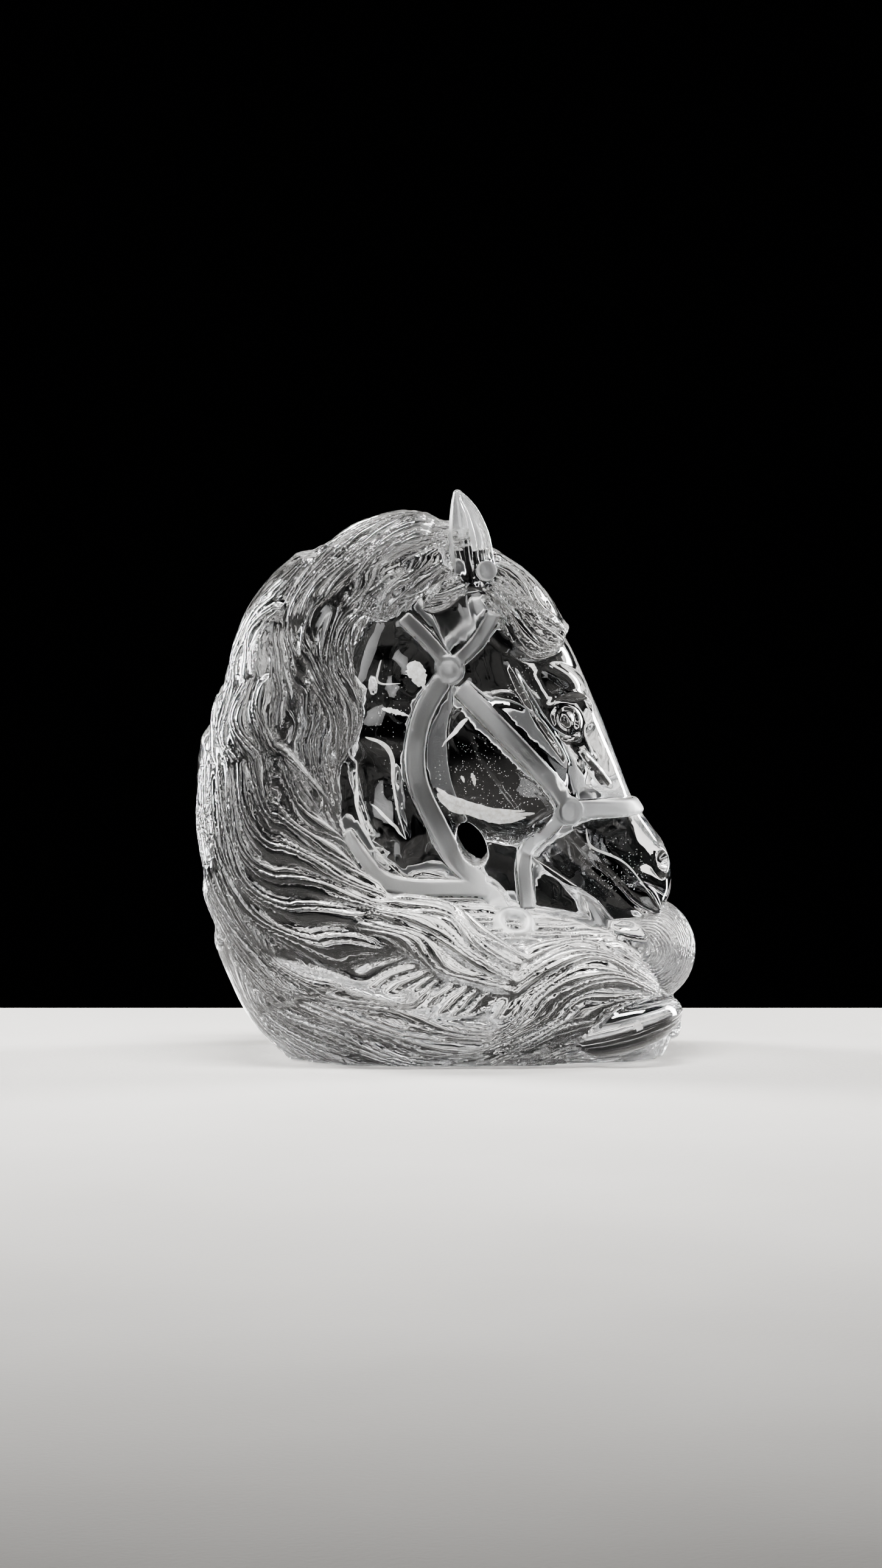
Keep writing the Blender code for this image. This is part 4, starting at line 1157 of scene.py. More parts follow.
@dataclass
class Bridle:
    """The bridle, cut proud of the head and left matt, with bosses and bit rings, and the eyes between them.

    Attributes:
        straps: The straps that are alike on both sides.
        noseband_width: Width of the strap round the nose, in metres.
        noseband_middle: A guide place inside the nose, from which that strap is laid.
        noseband_turn: How far it reaches round to each side, in radians.
        rise: How far a strap stands proud, in metres.
        root: How far it goes into the head.
        bosses: Places of the two large bosses, in profile.
        ear_boss: Place of the boss under the ear.
        ear_boss_share: Its size as a share of the large ones'.
        boss_radius: Radius of a large boss in metres.
        boss_rise: How far it stands proud of a strap.
        boss_dish: Depth of its dish.
        boss_hub: Height of the hub in the dish.
        bit_ring: Place of the bit ring, in profile.
        ring_radius: Its radius in metres.
        ring_wire: Half thickness of its wire.
        eye_place: Place of the eye, in profile.
        eye_radius: Radius of the eyeball in metres.
        eye_sink: How far the eyeball is sunk.
        lid: Radius and half thickness of the lids in metres, and their length as a share of their width.
        lid_slant: Slant of the eye in radians.
    """

    straps: tuple[Strap, ...] = (
        Strap("cheekpiece", ((2.4, 65.3), (10.3, 57.3), (18.1, 48.9), (20.4, 45.2)), 0.0029),
        Strap(
            "throatlatch",
            (
                (-1.0, 66.6), (-3.4, 63.0), (-5.3, 58.0), (-5.8, 52.0), (-4.6, 47.0), (-2.4, 42.6),
                (-0.2, 38.2), (2.4, 34.0), (6.0, 30.9),
            ),
            0.0031,
        ),
        Strap("crownpiece", ((-7.6, 77.6), (-4.0, 74.1), (-1.0, 70.6), (0.4, 68.4)), 0.0022),
        Strap("browband", ((0.8, 69.2), (4.3, 72.4), (6.6, 75.6), (8.2, 78.6)), 0.0020),
        Strap(
            "jaw_piece",
            ((20.0, 43.0), (17.8, 40.6), (14.2, 37.4), (13.4, 33.8), (13.8, 30.0), (14.0, 26.5)),
            0.0021,
        ),
        Strap(
            "rein",
            (
                (-18.0, 40.0), (-14.8, 35.5), (-11.5, 32.0), (-6.0, 30.6), (2.0, 30.4), (7.0, 29.4),
                (9.4, 26.4),
            ),
            0.0025,
        ),
    )
    noseband_width: float = 0.0026
    noseband_middle: tuple[float, float, float] = (23.0, 0.0, 44.0)
    noseband_turn: float = math.radians(98)
    rise: float = 0.0008
    root: float = 0.0012
    bosses: Path = ((0.4, 68.4), (21.1, 43.8))
    ear_boss: Pair = (6.7, 85.8)
    ear_boss_share: float = 0.7
    boss_radius: float = 0.0022
    boss_rise: float = 0.0007
    boss_dish: float = 0.0004
    boss_hub: float = 0.0005
    bit_ring: Pair = (11.6, 24.4)
    ring_radius: float = 0.0024
    ring_wire: float = 0.0010
    eye_place: Pair = (21.0, 59.8)
    eye_radius: float = 0.0013
    eye_sink: float = 0.0006
    lid: tuple[float, float, float] = (0.0019, 0.0005, 1.2)
    lid_slant: float = math.radians(-35)

    def build_straps(self, surface: Surface) -> list[bpy.types.Object]:
        """Builds every strap, alike on both sides, and the noseband that joins them."""
        made = []
        for side in Side:
            for strap in self.straps:
                places = [surface.below(x, z, side) for x, z in path_through(strap.line, 90)]
                made.append(band(strap.name, places, strap.width, self.rise, self.root, Cut.MATT))
        middle = GRID.place(*self.noseband_middle)
        turns = np.linspace(-self.noseband_turn, self.noseband_turn, 160)
        ways = [Vector((math.cos(turn), math.sin(turn), 0)) for turn in turns]
        places = [surface.towards(middle, way) for way in ways]
        made.append(band("noseband", places, self.noseband_width, self.rise, self.root, Cut.MATT))
        return made

    def build_boss(self, surface: Surface, place: Pair, side: Side, share: float = 1.0) -> bpy.types.Object:
        """Builds a round boss with a dished rim and a hub, set square on the form.

        Args:
            surface: The form.
            place: Its place in profile.
            side: The side that it is on.
            share: Its size as a share of the full boss.

        Returns:
            The boss.
        """
        point, normal = surface.below(*place, side)
        radius = self.boss_radius * share
        height = self.rise + self.boss_rise * share
        boss = added(bpy.ops.mesh.primitive_cylinder_add, vertices=64, radius=radius, depth=2 * height)
        boss.name = "boss"
        with editing(boss):
            work = bmesh.from_edit_mesh(boss.data)
            for face in work.faces:
                face.select_set(face.normal.z > 0.9)
            bmesh.update_edit_mesh(boss.data)
            bpy.ops.mesh.inset(thickness=radius * 0.3)
            bpy.ops.transform.translate(value=(0, 0, -self.boss_dish * share))
            bpy.ops.mesh.inset(thickness=radius * 0.28)
            bpy.ops.transform.translate(value=(0, 0, self.boss_hub * share))
        apply_modifier(boss, "BEVEL", width=radius * 0.08, segments=2, limit_method="ANGLE")
        boss.rotation_euler = normal.to_track_quat("Z", "Y").to_euler()
        boss.location = point
        apply_place(boss)
        carry(boss, finish=Cut.MATT.value)
        return boss

    def build_ring(self, surface: Surface, side: Side) -> bpy.types.Object:
        """Builds the bit ring, which joins jaw piece and rein."""
        point, normal = surface.below(*self.bit_ring, side)
        ring = added(
            bpy.ops.mesh.primitive_torus_add,
            major_segments=80,
            minor_segments=28,
            major_radius=self.ring_radius,
            minor_radius=self.ring_wire,
            location=point,
            rotation=normal.to_track_quat("Z", "Y").to_euler(),
        )
        apply_place(ring)
        carry(ring, finish=Cut.MATT.value)
        return ring

    def build_eye(self, surface: Surface, side: Side) -> list[bpy.types.Object]:
        """Builds the eyeball and the lids round it."""
        point, normal = surface.below(*self.eye_place, side)
        ball = added(
            bpy.ops.mesh.primitive_uv_sphere_add,
            segments=64,
            ring_count=40,
            radius=self.eye_radius,
            location=point - self.eye_sink * normal,
        )
        radius, wire, length = self.lid
        lids = added(
            bpy.ops.mesh.primitive_torus_add,
            major_segments=72,
            minor_segments=24,
            major_radius=radius,
            minor_radius=wire,
            location=point - self.eye_sink / 2 * normal,
        )
        lids.scale = (length, 1, 1)
        slant = Quaternion((0, 0, 1), -side.value * self.lid_slant)
        lids.rotation_euler = (normal.to_track_quat("Z", "Y") @ slant).to_euler()
        for piece in (ball, lids):
            apply_place(piece)
            carry(piece, finish=Cut.POLISHED.value)
        return [ball, lids]

    def build(self, surface: Surface) -> list[bpy.types.Object]:
        """Builds the bridle and the eyes on the form that they lie on."""
        made = self.build_straps(surface)
        for side in Side:
            made += [self.build_boss(surface, place, side) for place in self.bosses]
            made.append(self.build_boss(surface, self.ear_boss, side, self.ear_boss_share))
            made.append(self.build_ring(surface, side))
            made += self.build_eye(surface, side)
        return made


@dataclass(frozen=True)
class Veil:
    """One thin white sheet under the skin, a painted highlight that stands in for a bright streak of
    refracted light.

    Attributes:
        line: Its line in profile.
        width: Its greatest width in metres.
        depth: How far it lies under the skin, in metres.
        ragged: Raggedness of its edges, as a share of its width.
    """

    line: Path
    width: float
    depth: float
    ragged: float = 0.1


@dataclass
class HighlightVeilsAndSpecks:
    """What is sealed in the crystal: thin white veils, which are painted highlights standing in for bright
    streaks of refracted light, and tiny white specks.

    Attributes:
        veils: The painted highlight veils: neck, blotch, streaks, band under the jowl, muzzle, nose, cheek
            and foot.
        veil_steps: Places along a veil.
        veil_tip: Width of its tips, as a share of its greatest width.
        thickness: Thickness of a veil in metres.
        clouds: Middle and radii in profile, and number of specks, of each cloud.
        speck_radius: Smallest and largest radius of a speck in metres.
        speck_depth: Smallest and largest depth under the skin in metres.
        seed: Start of the random draws.
    """

    veils: tuple[Veil, ...] = (
        Veil(((-15.9, 52.7), (-15.3, 46.6), (-13.2, 38.5), (-7.2, 32.4)), 0.0005, 0.0012),
        Veil(((-14.6, 56.8), (-10.2, 54.4), (-9.2, 46.6), (-7.2, 39.2)), 0.0007, 0.0012),
        Veil(((-13.2, 45.3), (-10.4, 42.4), (-7.2, 39.2)), 0.0005, 0.0012),
        Veil(((-6.6, 70.2), (-5.4, 68.2), (-4.6, 65.6)), 0.0026, 0.0015, 0.15),
        Veil(((-5.2, 69.6), (-4.2, 67.6), (-3.9, 65.4)), 0.0016, 0.0019, 0.2),
        Veil(((-11.6, 62.2), (-9.0, 61.6), (-6.5, 60.8)), 0.0008, 0.0015, 0.3),
        Veil(((-11.4, 70.0), (-12.0, 66.6), (-8.7, 66.4)), 0.0004, 0.0015),
        Veil(((-1.8, 48.0), (2.6, 45.0), (8.0, 43.6), (13.6, 43.6)), 0.0013, 0.0010, 0.15),
        Veil(((-1.6, 47.0), (2.8, 44.0), (8.0, 42.5), (15.4, 43.0)), 0.0022, 0.0013, 0.08),
        Veil(((4.4, 43.2), (7.4, 42.0), (10.4, 41.6), (13.8, 42.1)), 0.0018, 0.0016, 0.12),
        Veil(((24.6, 40.5), (25.6, 37.2), (31.4, 34.5), (36.6, 28.2)), 0.0004, 0.0009),
        Veil(((27.0, 56.8), (27.9, 55.0), (28.0, 52.7)), 0.0006, 0.0010),
        Veil(((19.2, 50.7), (20.4, 48.4), (21.9, 46.8)), 0.0008, 0.0010, 0.3),
        Veil(((24.6, 51.4), (26.4, 49.0), (28.0, 47.3)), 0.0005, 0.0010),
        Veil(((2.9, 60.5), (0.8, 58.2), (-0.3, 55.2)), 0.0008, 0.0020),
        Veil(((3.8, 50.4), (4.2, 49.2), (4.4, 47.9)), 0.0007, 0.0018, 0.3),
        Veil(((1.8, 49.8), (2.2, 49.2), (2.4, 48.6)), 0.0005, 0.0018, 0.3),
        Veil(((32.6, 7.9), (33.4, 7.1), (34.2, 6.5)), 0.0014, 0.0010, 0.3),
    )
    veil_steps: int = 40
    veil_tip: float = 0.1
    thickness: float = 0.00005
    clouds: tuple = (
        ((8.0, 49.5), (10.5, 8.5), 420),
        ((30.0, 34.0), (6.0, 5.0), 160),
        ((-9.0, 58.0), (5.0, 12.0), 120),
        ((13.5, 66.0), (3.0, 6.0), 90),
    )
    speck_radius: Pair = (0.00003, 0.00007)
    speck_depth: Pair = (0.0004, 0.0035)
    seed: int = 11

    def build(self, surface: Surface) -> list[bpy.types.Object]:
        """Builds the veils and the specks under the near side of the skin."""
        sheets = []
        share = np.linspace(0, 1, self.veil_steps)
        fullness = self.veil_tip + (1 - self.veil_tip) * np.sin(math.pi * share**0.75)
        for veil in self.veils:
            places = [surface.below(x, z, Side.NEAR) for x, z in path_through(veil.line, self.veil_steps)]
            places = [(point - normal * veil.depth, normal) for point, normal in places]
            ragged = 1 + veil.ragged * (0.6 * np.sin(27 * share) + 0.4 * np.sin(63 * share))
            half = self.thickness / 2
            widths = veil.width * fullness * ragged
            # Each veil is a thin white sheet, a painted highlight for a bright streak of refracted light.
            sheets.append(band("veil", places, widths, half, half, Cut.MATT, rounds=6))
        only(*sheets)
        bpy.ops.object.join()
        # The joined veils are painted highlights, white sheets under the skin.
        bpy.context.active_object.name = NODE + "_painted_highlight_veils"
        return [bpy.context.active_object, self.build_specks(surface)]

    def build_specks(self, surface: Surface) -> bpy.types.Object:
        """Builds the clouds of specks as one object."""
        draws = np.random.default_rng(self.seed)
        work = bmesh.new()
        for middle, radii, count in self.clouds:
            for _ in range(count):
                turn, share = draws.uniform(0, 2 * math.pi), math.sqrt(draws.uniform())
                x = middle[0] + radii[0] * share * math.cos(turn)
                z = middle[1] + radii[1] * share * math.sin(turn)
                point, normal = surface.below(x, z, Side.NEAR)
                point = point - normal * draws.uniform(*self.speck_depth)
                size = draws.uniform(*self.speck_radius)
                stretch = Matrix.Diagonal((size, size * draws.uniform(0.4, 1), size * draws.uniform(1, 2), 1))
                lean = Quaternion((0, 1, 0), draws.uniform(0, math.pi)).to_matrix().to_4x4()
                bmesh.ops.create_icosphere(
                    work, subdivisions=1, radius=1, matrix=Matrix.Translation(point) @ lean @ stretch
                )
        specks = added(bpy.ops.mesh.primitive_ico_sphere_add, subdivisions=1)
        specks.name = NODE + "_specks"
        work.to_mesh(specks.data)
        work.free()
        return specks


@dataclass
class Carving:
    """The whole carving, joined from its forms and given one skin.

    Attributes:
        mane: The mane, which is also the base.
        head: The head and its forelock.
        neck: The neck and the web.
        ears: Both ears.
        curl: The lock before the lips.
        foot: The smooth lobes of the base.
        bridle: The bridle and the eyes.
        highlight_veils_and_specks: What is sealed in the crystal: white veils that paint highlights, and
            specks.
        voxel: Fineness of the skin before it is thinned, in metres.
        form_voxel: Fineness of the form that the bridle is laid on.
        triangles: Triangles left in the skin.
        polishing: Rounds of smoothing.
        polish_steps: How hairy a place is, from and to, and the share of the smoothing that it takes.
        sliver: Size of a sliver in metres.
        mend_rounds: Rounds in which slivers are taken out.
        hole_place: Middle of the opening under the jowl, in profile.
        hole_length: Its length in metres.
        hole_width: Its width in metres.
        hole_slant: Its lean in radians.
        crease_angle: Angle in radians past which an edge of the skin looks sharp.
    """

    mane: Mane = field(default_factory=Mane)
    head: Head = field(default_factory=Head)
    neck: Neck = field(default_factory=Neck)
    ears: Ears = field(default_factory=Ears)
    curl: Curl = field(default_factory=Curl)
    foot: Foot = field(default_factory=Foot)
    bridle: Bridle = field(default_factory=Bridle)
    highlight_veils_and_specks: HighlightVeilsAndSpecks = field(default_factory=HighlightVeilsAndSpecks)
    voxel: float = 0.00021
    form_voxel: float = 0.0006
    triangles: int = 192000
    polishing: int = 10
    polish_steps: tuple = ((-9, 0.1, 1.0), (0.1, 0.5, 0.3), (0.5, 9, 0.05))
    sliver: float = 0.00001
    mend_rounds: int = 3
    hole_place: Pair = (4.3, 37.8)
    hole_length: float = 0.0074
    hole_width: float = 0.0040
    hole_slant: float = math.radians(-25)
    crease_angle: float = math.radians(60)

    def fuse(self, name: str, pieces: list[bpy.types.Object], voxel: float) -> bpy.types.Object:
        """Joins copies of closed pieces that overlap into one object with one skin.

        Args:
            name: Name for the object.
            pieces: The pieces, which stay.
            voxel: Fineness of the skin in metres.

        Returns:
            The fused object.
        """
        copies = []
        for piece in pieces:
            copy = piece.copy()
            copy.data = piece.data.copy()
            bpy.context.scene.collection.objects.link(copy)
            copies.append(copy)
        only(*copies)
        bpy.ops.object.join()
        fused = bpy.context.active_object
        fused.name = name
        fused.data.remesh_voxel_size = voxel
        fused.data.use_remesh_preserve_attributes = True
        bpy.ops.object.voxel_remesh()
        return fused

    def cut(self, target: bpy.types.Object, cutter: bpy.types.Object) -> None:
        """Takes the cutter's shape out of the target and removes the cutter."""
        apply_modifier(target, "BOOLEAN", operation="DIFFERENCE", solver="MANIFOLD", object=cutter)
        bpy.data.objects.remove(cutter)

    def hole_cutter(self) -> bpy.types.Object:
        """The slanted oval that opens the web."""
        cutter = added(bpy.ops.mesh.primitive_cylinder_add, vertices=96, radius=0.5, depth=GRID.depth)
        cutter.scale = (self.hole_width, self.hole_length, 1)
        cutter.rotation_euler = (math.pi / 2, self.hole_slant, 0)
        cutter.location = GRID.place(self.hole_place[0], 0, self.hole_place[1])
        apply_place(cutter)
        return cutter

    def floor_cutter(self) -> bpy.types.Object:
        """The block below the floor, which cuts the foot flat."""
        cutter = added(bpy.ops.mesh.primitive_cube_add, size=1, location=(0, 0, -GRID.height / 4))
        cutter.scale = (2 * GRID.height, 2 * GRID.height, GRID.height / 2)
        apply_place(cutter)
        return cutter

    def polish(self, body: bpy.types.Object) -> None:
        """Smooths the skin, most where no hair is cut into it, and leaves the foot flat."""
        count = len(body.data.vertices)
        comb, corners = np.empty(count, np.float32), np.empty(3 * count, np.float32)
        body.data.attributes["comb"].data.foreach_get("value", comb)
        body.data.vertices.foreach_get("co", corners)
        above = corners[2::3] > self.voxel / 2
        group = body.vertex_groups.new(name="polish")
        for low, high, weight in self.polish_steps:
            points = np.nonzero((comb >= low) & (comb < high) & above)[0]
            group.add(points.tolist(), weight, "REPLACE")
        apply_modifier(body, "SMOOTH", factor=0.5, iterations=self.polishing, vertex_group="polish")
        body.vertex_groups.clear()

    def mend(self, body: bpy.types.Object) -> None:
        """Takes out the slivers that cutting and thinning leave in the skin."""
        for _ in range(self.mend_rounds):
            with editing(body):
                bpy.ops.mesh.dissolve_degenerate(threshold=self.sliver)
                bpy.ops.mesh.select_all(action="SELECT")
                bpy.ops.mesh.delete_loose()

    def build(self) -> tuple[bpy.types.Object, list[bpy.types.Object]]:
        """Builds the carving.

        Returns:
            The skin, standing on the origin, and what is sealed in it.
        """
        forms = [self.head.build(), self.mane.build(), self.curl.build()]
        forms += self.neck.build() + self.foot.build() + self.ears.build()
        log.info("forms are rolled")
        form = self.fuse("form", forms, self.form_voxel)
        forms += self.bridle.build(Surface(form))
        bpy.data.objects.remove(form)
        log.info("bridle is laid")
        body = self.fuse(NODE + "_crystal", forms, self.voxel)
        for piece in forms:
            bpy.data.objects.remove(piece)
        log.info("fused skin: %d faces", len(body.data.polygons))
        self.cut(body, self.hole_cutter())
        self.cut(body, self.floor_cutter())
        self.polish(body)
        share = self.triangles / sum(len(face.vertices) - 2 for face in body.data.polygons)
        apply_modifier(body, "DECIMATE", ratio=share)
        self.mend(body)
        log.info("thinned skin: %d faces", len(body.data.polygons))
        sealed = self.highlight_veils_and_specks.build(Surface(body))
        corners = np.array([vertex.co for vertex in body.data.vertices])
        middle = (corners.min(axis=0) + corners.max(axis=0)) / 2
        for piece in (body, *sealed):
            piece.data.transform(Matrix.Translation((-middle[0], -middle[1], 0)))
            only(piece)
            bpy.ops.object.shade_smooth_by_angle(angle=self.crease_angle)
        return body, sealed


def linear(colour: str) -> tuple[float, float, float, float]:
    """An sRGB hex colour as the linear values that Blender works in."""
    parts = [int(colour[i : i + 2], 16) / 255 for i in (1, 3, 5)]
    turned = [part / 12.92 if part <= 0.04045 else ((part + 0.055) / 1.055) ** 2.4 for part in parts]
    return (turned[0], turned[1], turned[2], 1.0)


def add_node(
    material: bpy.types.Material, kind: str, settings: dict | None = None, links: dict | None = None
) -> bpy.types.Node:
    """Adds a node with its settings and its incoming links.

    Args:
        material: The material.
        kind: The node's type name.
        settings: Socket names or properties and their values.
        links: Input names or numbers and the sockets that feed them.

    Returns:
        The new node.
    """
    node = material.node_tree.nodes.new(kind)
    for name, value in (settings or {}).items():
        if isinstance(name, int) or name in node.inputs:
            node.inputs[name].default_value = value
        else:
            setattr(node, name, value)
    for name, source in (links or {}).items():
        material.node_tree.links.new(source, node.inputs[name])
    return node


def new_material(name: str, **values: object) -> tuple[bpy.types.Material, bpy.types.Node]:
    """Makes a material.

    Args:
        name: Its name.
        **values: Values for its shader's sockets, with _ for a space.

    Returns:
        The material and its shader.
    """
    material = bpy.data.materials.new(name)
    material.use_nodes = True
    shader = material.node_tree.nodes["Principled BSDF"]
    for socket, value in values.items():
        shader.inputs[socket.replace("_", " ")].default_value = value
    return material, shader


def set_stops(ramp: bpy.types.Node, places: Sequence[float], colours: Sequence) -> None:
    """Sets a ramp's stops, of which there are two or more, to these places and colours."""
    stops = ramp.color_ramp.elements
    while len(stops) < len(places):
        stops.new(0.5)
    for stop, place, colour in zip(stops, places, colours):
        stop.position = place
        stop.color = colour


@dataclass(frozen=True)
class RockCrystal:
    """Clear rock crystal, wheel-cut in the hair, polished on the face and left matt on the straps.

    Attributes:
        colour: Its body colour, which is nearly none.
        ior: Index of refraction of quartz.
        polished: Roughness of the polished face.
        hair: Roughness of the cut hair lines.
        matt: Roughness of the matt straps.
        grit_mm: Grain of the matt surface. The real one is finer, and this is as coarse as it needs to show.
        grit_depth_mm: Depth of that grain.
        line_depth_mm: Depth of the finest hair lines.
        line_sharpness: Under 1, the lines are sharp and the hairs between them round.
        split_share: Depth of the line that splits each hair, as a share of the others.
    """

    colour: str = "#FAFBFC"
    ior: float = 1.544
    polished: float = 0.02
    hair: float = 0.07
    matt: float = 0.42
    grit_mm: float = 0.12
    grit_depth_mm: float = 0.02
    line_depth_mm: float = 0.12
    line_sharpness: float = 0.55
    split_share: float = 0.4

    def make(self) -> bpy.types.Material:
        """Makes the material.

        Light passes right through it, and the eye sees the cut surface: clear where it is polished, silky
        where hair lines are cut into it, and grey white where it is matt.

        Returns:
            The material.
        """
        material, shader = new_material(
            "rock_crystal_cut_and_polished",
            Base_Color=linear(self.colour),
            IOR=self.ior,
            Transmission_Weight=1.0,
        )
        finish = add_node(material, "ShaderNodeAttribute", {"attribute_name": "finish"})
        ramp = add_node(material, "ShaderNodeValToRGB", links={"Fac": finish.outputs["Fac"]})
        greys = [(value, value, value, 1) for value in (self.polished, self.hair, self.matt)]
        set_stops(ramp, [cut.value for cut in Cut], greys)
        material.node_tree.links.new(ramp.outputs["Color"], shader.inputs["Roughness"])
        place = add_node(material, "ShaderNodeTexCoord")
        grain = add_node(
            material,
            "ShaderNodeTexNoise",
            {"Scale": 1000 / self.grit_mm, "Detail": 2.0},
            {"Vector": place.outputs["Object"]},
        )
        depth = add_node(
            material, "ShaderNodeMath", {"operation": "POWER", 1: 2.0}, {0: finish.outputs["Fac"]}
        )
        bump = add_node(
            material,
            "ShaderNodeBump",
            {"Distance": self.grit_depth_mm / 1000},
            {"Height": grain.outputs["Fac"], "Strength": depth.outputs["Value"]},
        )
        lines = self.add_lines(material, bump.outputs["Normal"])
        material.node_tree.links.new(lines, shader.inputs["Normal"])
        return material

    def add_lines(self, material: bpy.types.Material, under: bpy.types.NodeSocket) -> bpy.types.NodeSocket:
        """Adds the hair lines, which run where the skin's count of lines is a whole number.

        Args:
            material: The material.
            under: The way out of the surface without them.

        Returns:
            The way out of the surface with them.
        """
        strand = add_node(material, "ShaderNodeAttribute", {"attribute_name": "strand"})
        comb = add_node(material, "ShaderNodeAttribute", {"attribute_name": "comb"})
        height = self.furrow(material, strand.outputs["Fac"], 0.5, 1.0)
        split = self.furrow(material, strand.outputs["Fac"], 0.25, self.split_share)
        height = add_node(material, "ShaderNodeMath", {"operation": "ADD"}, {0: height, 1: split})
        bump = add_node(
            material,
            "ShaderNodeBump",
            {"Distance": self.line_depth_mm / 1000},
            {"Height": height.outputs["Value"], "Strength": comb.outputs["Fac"], "Normal": under},
        )
        return bump.outputs["Normal"]

    def furrow(
        self, material: bpy.types.Material, count: bpy.types.NodeSocket, half: float, depth: float
    ) -> bpy.types.NodeSocket:
        """Makes a height that falls to nought at sharp, evenly set lines.

        Args:
            material: The material.
            count: The count of lines.
            half: Half the distance between lines, in that count.
            depth: The height between them.

        Returns:
            The height.
        """
        value = count
        for operation, number in (
            ("PINGPONG", half), ("DIVIDE", half), ("POWER", self.line_sharpness), ("MULTIPLY", depth)
        ):
            node = add_node(material, "ShaderNodeMath", {"operation": operation, 1: number}, {0: value})
            value = node.outputs["Value"]
        return value


@dataclass(frozen=True)
class HighlightAndSpeckWhite:
    """A bright, faintly warm white: on the veils a painted highlight, standing in for bright streaks of
    refracted light; on the specks their own white.

    Attributes:
        colour: Colour of the bright places.
        shade: Colour of the dim ones.
        roughness: Its roughness.
        clearness: Share of the light that goes through it.
        ior: Index of refraction against the quartz round it.
        feather_mm: Size of its feathering.
    """

    colour: str = "#FFFFFE"
    shade: str = "#DCD8D2"
    roughness: float = 0.5
    clearness: float = 0.1
    ior: float = 1.05
    feather_mm: float = 0.7

    def make(self) -> bpy.types.Material:
        """Makes the material, brighter and dimmer in feathers."""
        # This white, laid on the veils, is painted highlight; on the specks it is their own colour.
        material, shader = new_material(
            "painted_highlight_veils_and_specks_white",
            Roughness=self.roughness,
            Transmission_Weight=self.clearness,
            IOR=self.ior,
        )
        place = add_node(material, "ShaderNodeTexCoord")
        feathers = add_node(
            material,
            "ShaderNodeTexNoise",
            {"Scale": 1000 / self.feather_mm, "Detail": 5.0, "Roughness": 0.7},
            {"Vector": place.outputs["Object"]},
        )
        ramp = add_node(material, "ShaderNodeValToRGB", links={"Fac": feathers.outputs["Fac"]})
        set_stops(ramp, (0.35, 0.6), (linear(self.shade), linear(self.colour)))
        material.node_tree.links.new(ramp.outputs["Color"], shader.inputs["Base Color"])
        return material


@dataclass(frozen=True)
class PlasterBoard:
    """Plaster board under matt paint, which the eye sees as a pale, nearly even grey with a sandy grain.

    Attributes:
        shade: Its darkest colour.
        colour: Its lightest colour.
        roughness: Its roughness.
        cloud_mm: Size of its faint clouds.
        sand_mm: Size of its sandy grain.
        sand_depth_mm: Depth of that grain.
    """

    shade: str = "#93918E"
    colour: str = "#9A9895"
    roughness: float = 0.75
    cloud_mm: float = 71.4
    sand_mm: float = 0.625
    sand_depth_mm: float = 0.1

    def make(self) -> bpy.types.Material:
        """Makes the material."""
        material, shader = new_material("pale_plaster_board", Roughness=self.roughness)
        place = add_node(material, "ShaderNodeTexCoord")
        clouds, sand = (
            add_node(
                material,
                "ShaderNodeTexNoise",
                {"Scale": 1000 / size, "Detail": detail},
                {"Vector": place.outputs["Object"]},
            )
            for size, detail in ((self.cloud_mm, 4.0), (self.sand_mm, 2.0))
        )
        ramp = add_node(material, "ShaderNodeValToRGB", links={"Fac": clouds.outputs["Fac"]})
        set_stops(ramp, (0.3, 0.7), (linear(self.shade), linear(self.colour)))
        material.node_tree.links.new(ramp.outputs["Color"], shader.inputs["Base Color"])
        bump = add_node(
            material,
            "ShaderNodeBump",
            {"Distance": self.sand_depth_mm / 1000, "Strength": 0.5},
            {"Height": sand.outputs["Fac"]},
        )
        material.node_tree.links.new(bump.outputs["Normal"], shader.inputs["Normal"])
        return material


@dataclass(frozen=True)
class SoftBox:
    """One soft box of the studio, which the camera doesn't see.

    Attributes:
        name: Its name.
        place: Its place in metres.
        size: Its width and height in metres.
        power: Its power in watts.
        throw: How wide it throws its light, in radians.
    """

    name: str
    place: tuple[float, float, float]
    size: Pair
    power: float
    throw: float = math.radians(75)

    def build(self) -> None:
        """Builds the soft box, facing the carving's middle."""
        lamp = bpy.data.lights.new(self.name, "AREA")
        lamp.shape = "RECTANGLE"
        lamp.size, lamp.size_y = self.size
        lamp.energy = self.power
        lamp.spread = self.throw
        box = bpy.data.objects.new(self.name, lamp)
        bpy.context.scene.collection.objects.link(box)
        box.location = self.place
        aim = Vector((0, 0, GRID.height / 2)) - Vector(self.place)
        box.rotation_euler = aim.to_track_quat("-Z", "Y").to_euler()
        box.visible_camera = False


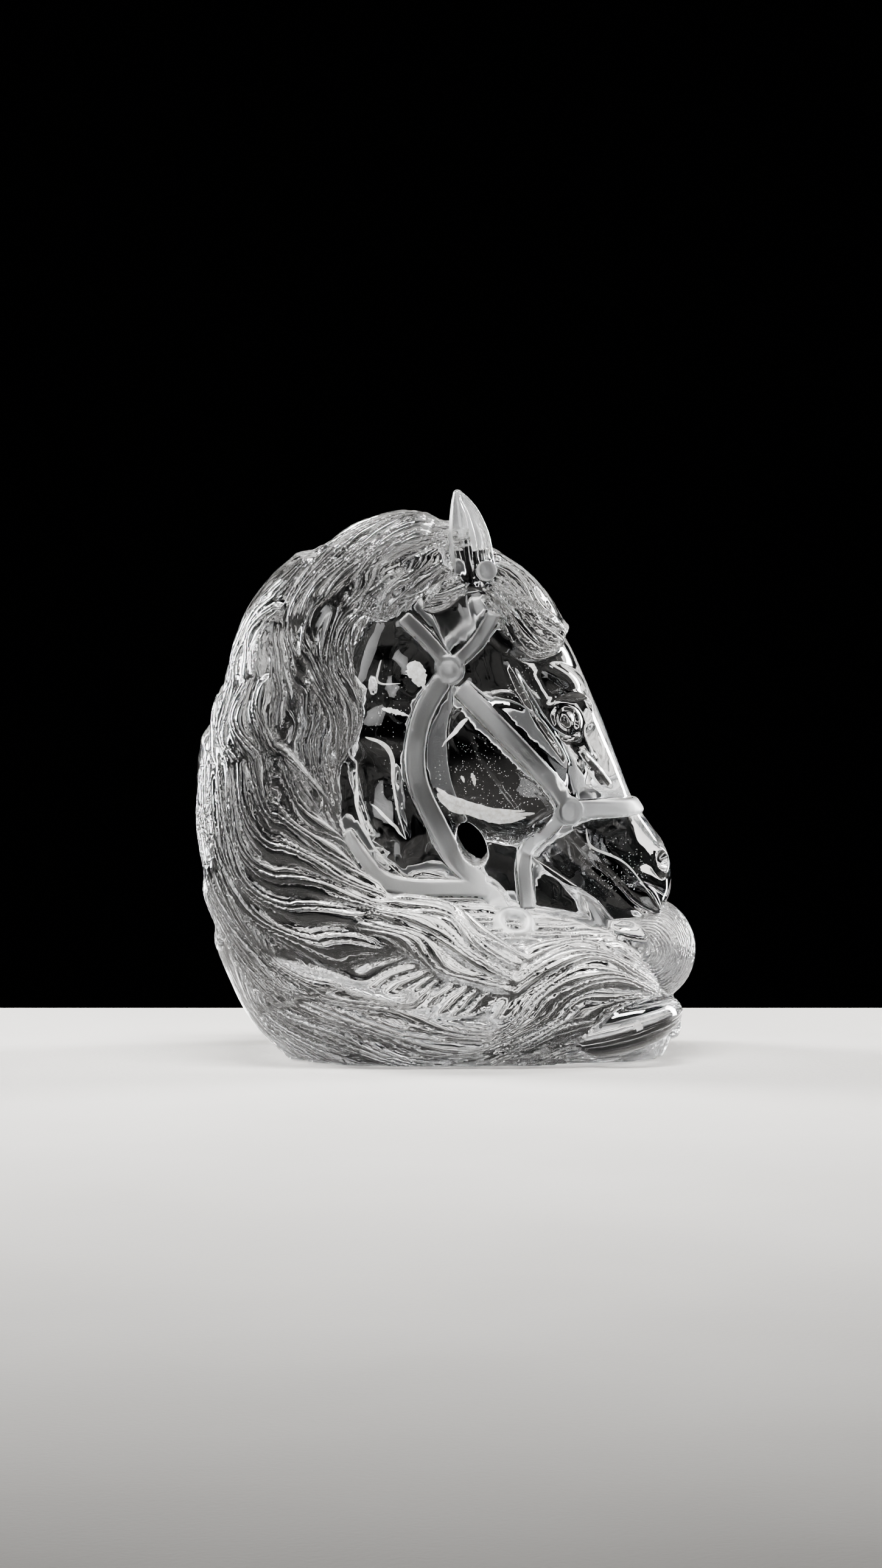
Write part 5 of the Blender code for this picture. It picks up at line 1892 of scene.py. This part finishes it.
@dataclass
class Studio:
    """A pale table in a dark room, soft boxes round it, and the camera.

    Attributes:
        image: Width and height of the picture in pixels.
        pixels_a_metre: Pixels of the picture for a metre at the carving.
        foot_pixel: Row of the picture on which the carving stands.
        middle_pixel: Column of the picture over the carving's middle.
        distance: From camera to carving in metres.
        elevation: How far the camera looks down, in radians.
        sensor: Length of the camera's sensor in millimetres.
        table_size: Width, depth and thickness of the table in metres.
        table_middle: How far its middle lies behind the carving's.
        table_gap: Its distance below the foot.
        table_edge: How far its edges are rounded.
        plaster: Its finish.
        boxes: The soft boxes.
        room_colour: Colour of the dark room.
        look: Contrast of the picture.
    """

    image: tuple[int, int] = (1449, 2576)
    pixels_a_metre: float = 9.25 / UNIT
    foot_pixel: float = 1730
    middle_pixel: float = 733
    distance: float = 0.75
    elevation: float = math.radians(4)
    sensor: float = 36
    table_size: tuple[float, float, float] = (1.4, 0.75, 0.04)
    table_middle: float = -0.31
    table_gap: float = 0.0002
    table_edge: float = 0.004
    plaster: PlasterBoard = PlasterBoard()
    boxes: tuple[SoftBox, ...] = (
        SoftBox("left_box", (-0.50, 0.15, 0.24), (0.14, 0.5), 2.6),
        SoftBox("right_box", (0.50, 0.20, 0.20), (0.14, 0.5), 2.0),
        SoftBox("top_box", (0.0, -0.08, 0.62), (0.40, 0.12), 1.5),
        SoftBox("front_fill", (-0.35, -0.75, 0.45), (0.5, 0.5), 0.45, math.radians(60)),
    )
    room_colour: str = "#0B0B0C"
    look: str = "AgX - High Contrast"

    def build_table(self) -> None:
        """Builds the table: a pale slab with a soft edge, its top just under the foot."""
        middle = (0, self.table_middle, -self.table_gap - self.table_size[2] / 2)
        table = added(bpy.ops.mesh.primitive_cube_add, size=1, location=middle)
        table.name = "table"
        table.scale = self.table_size
        apply_place(table)
        apply_modifier(table, "BEVEL", width=self.table_edge, segments=4)
        table.data.materials.append(self.plaster.make())

    def build_camera(self) -> None:
        """Sets the camera at the picture's viewing angle and frame."""
        width, height = self.image
        across = (width / 2 - self.middle_pixel) / self.pixels_a_metre
        up = (self.foot_pixel - height / 2) / self.pixels_a_metre
        target = Vector((across, 0, up))
        way = Vector((0, -math.cos(self.elevation), math.sin(self.elevation)))
        data = bpy.data.cameras.new("camera")
        data.sensor_width = self.sensor
        data.lens = self.sensor * self.distance * self.pixels_a_metre / height
        data.clip_start = 0.01
        camera = bpy.data.objects.new("camera", data)
        bpy.context.scene.collection.objects.link(camera)
        camera.location = target + way * self.distance
        camera.rotation_euler = (-way).to_track_quat("-Z", "Y").to_euler()
        bpy.context.scene.camera = camera

    def build(self) -> None:
        """Builds the studio."""
        self.build_table()
        world = bpy.data.worlds.new("dark_room")
        bpy.context.scene.world = world
        world.use_nodes = True
        world.node_tree.nodes["Background"].inputs["Color"].default_value = linear(self.room_colour)
        for box in self.boxes:
            box.build()
        bpy.context.scene.view_settings.look = self.look
        self.build_camera()


def main() -> None:
    """Builds the carving and the studio, and logs the face count of each piece."""
    logging.basicConfig(level=logging.INFO, format="%(message)s")
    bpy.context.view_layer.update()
    body, sealed = Carving().build()
    crystal, highlight_and_speck_white = RockCrystal().make(), HighlightAndSpeckWhite().make()
    for piece in (body, *sealed):
        piece.data.materials.clear()
        # The white material paints highlights on the veils and gives the specks their own white.
        piece.data.materials.append(crystal if piece is body else highlight_and_speck_white)
        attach(piece, BODY)
        log.info("%s: %d faces", piece.name, len(piece.data.polygons))
    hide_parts(NODE)
    Studio().build()


if __name__ == "__main__":
    main()
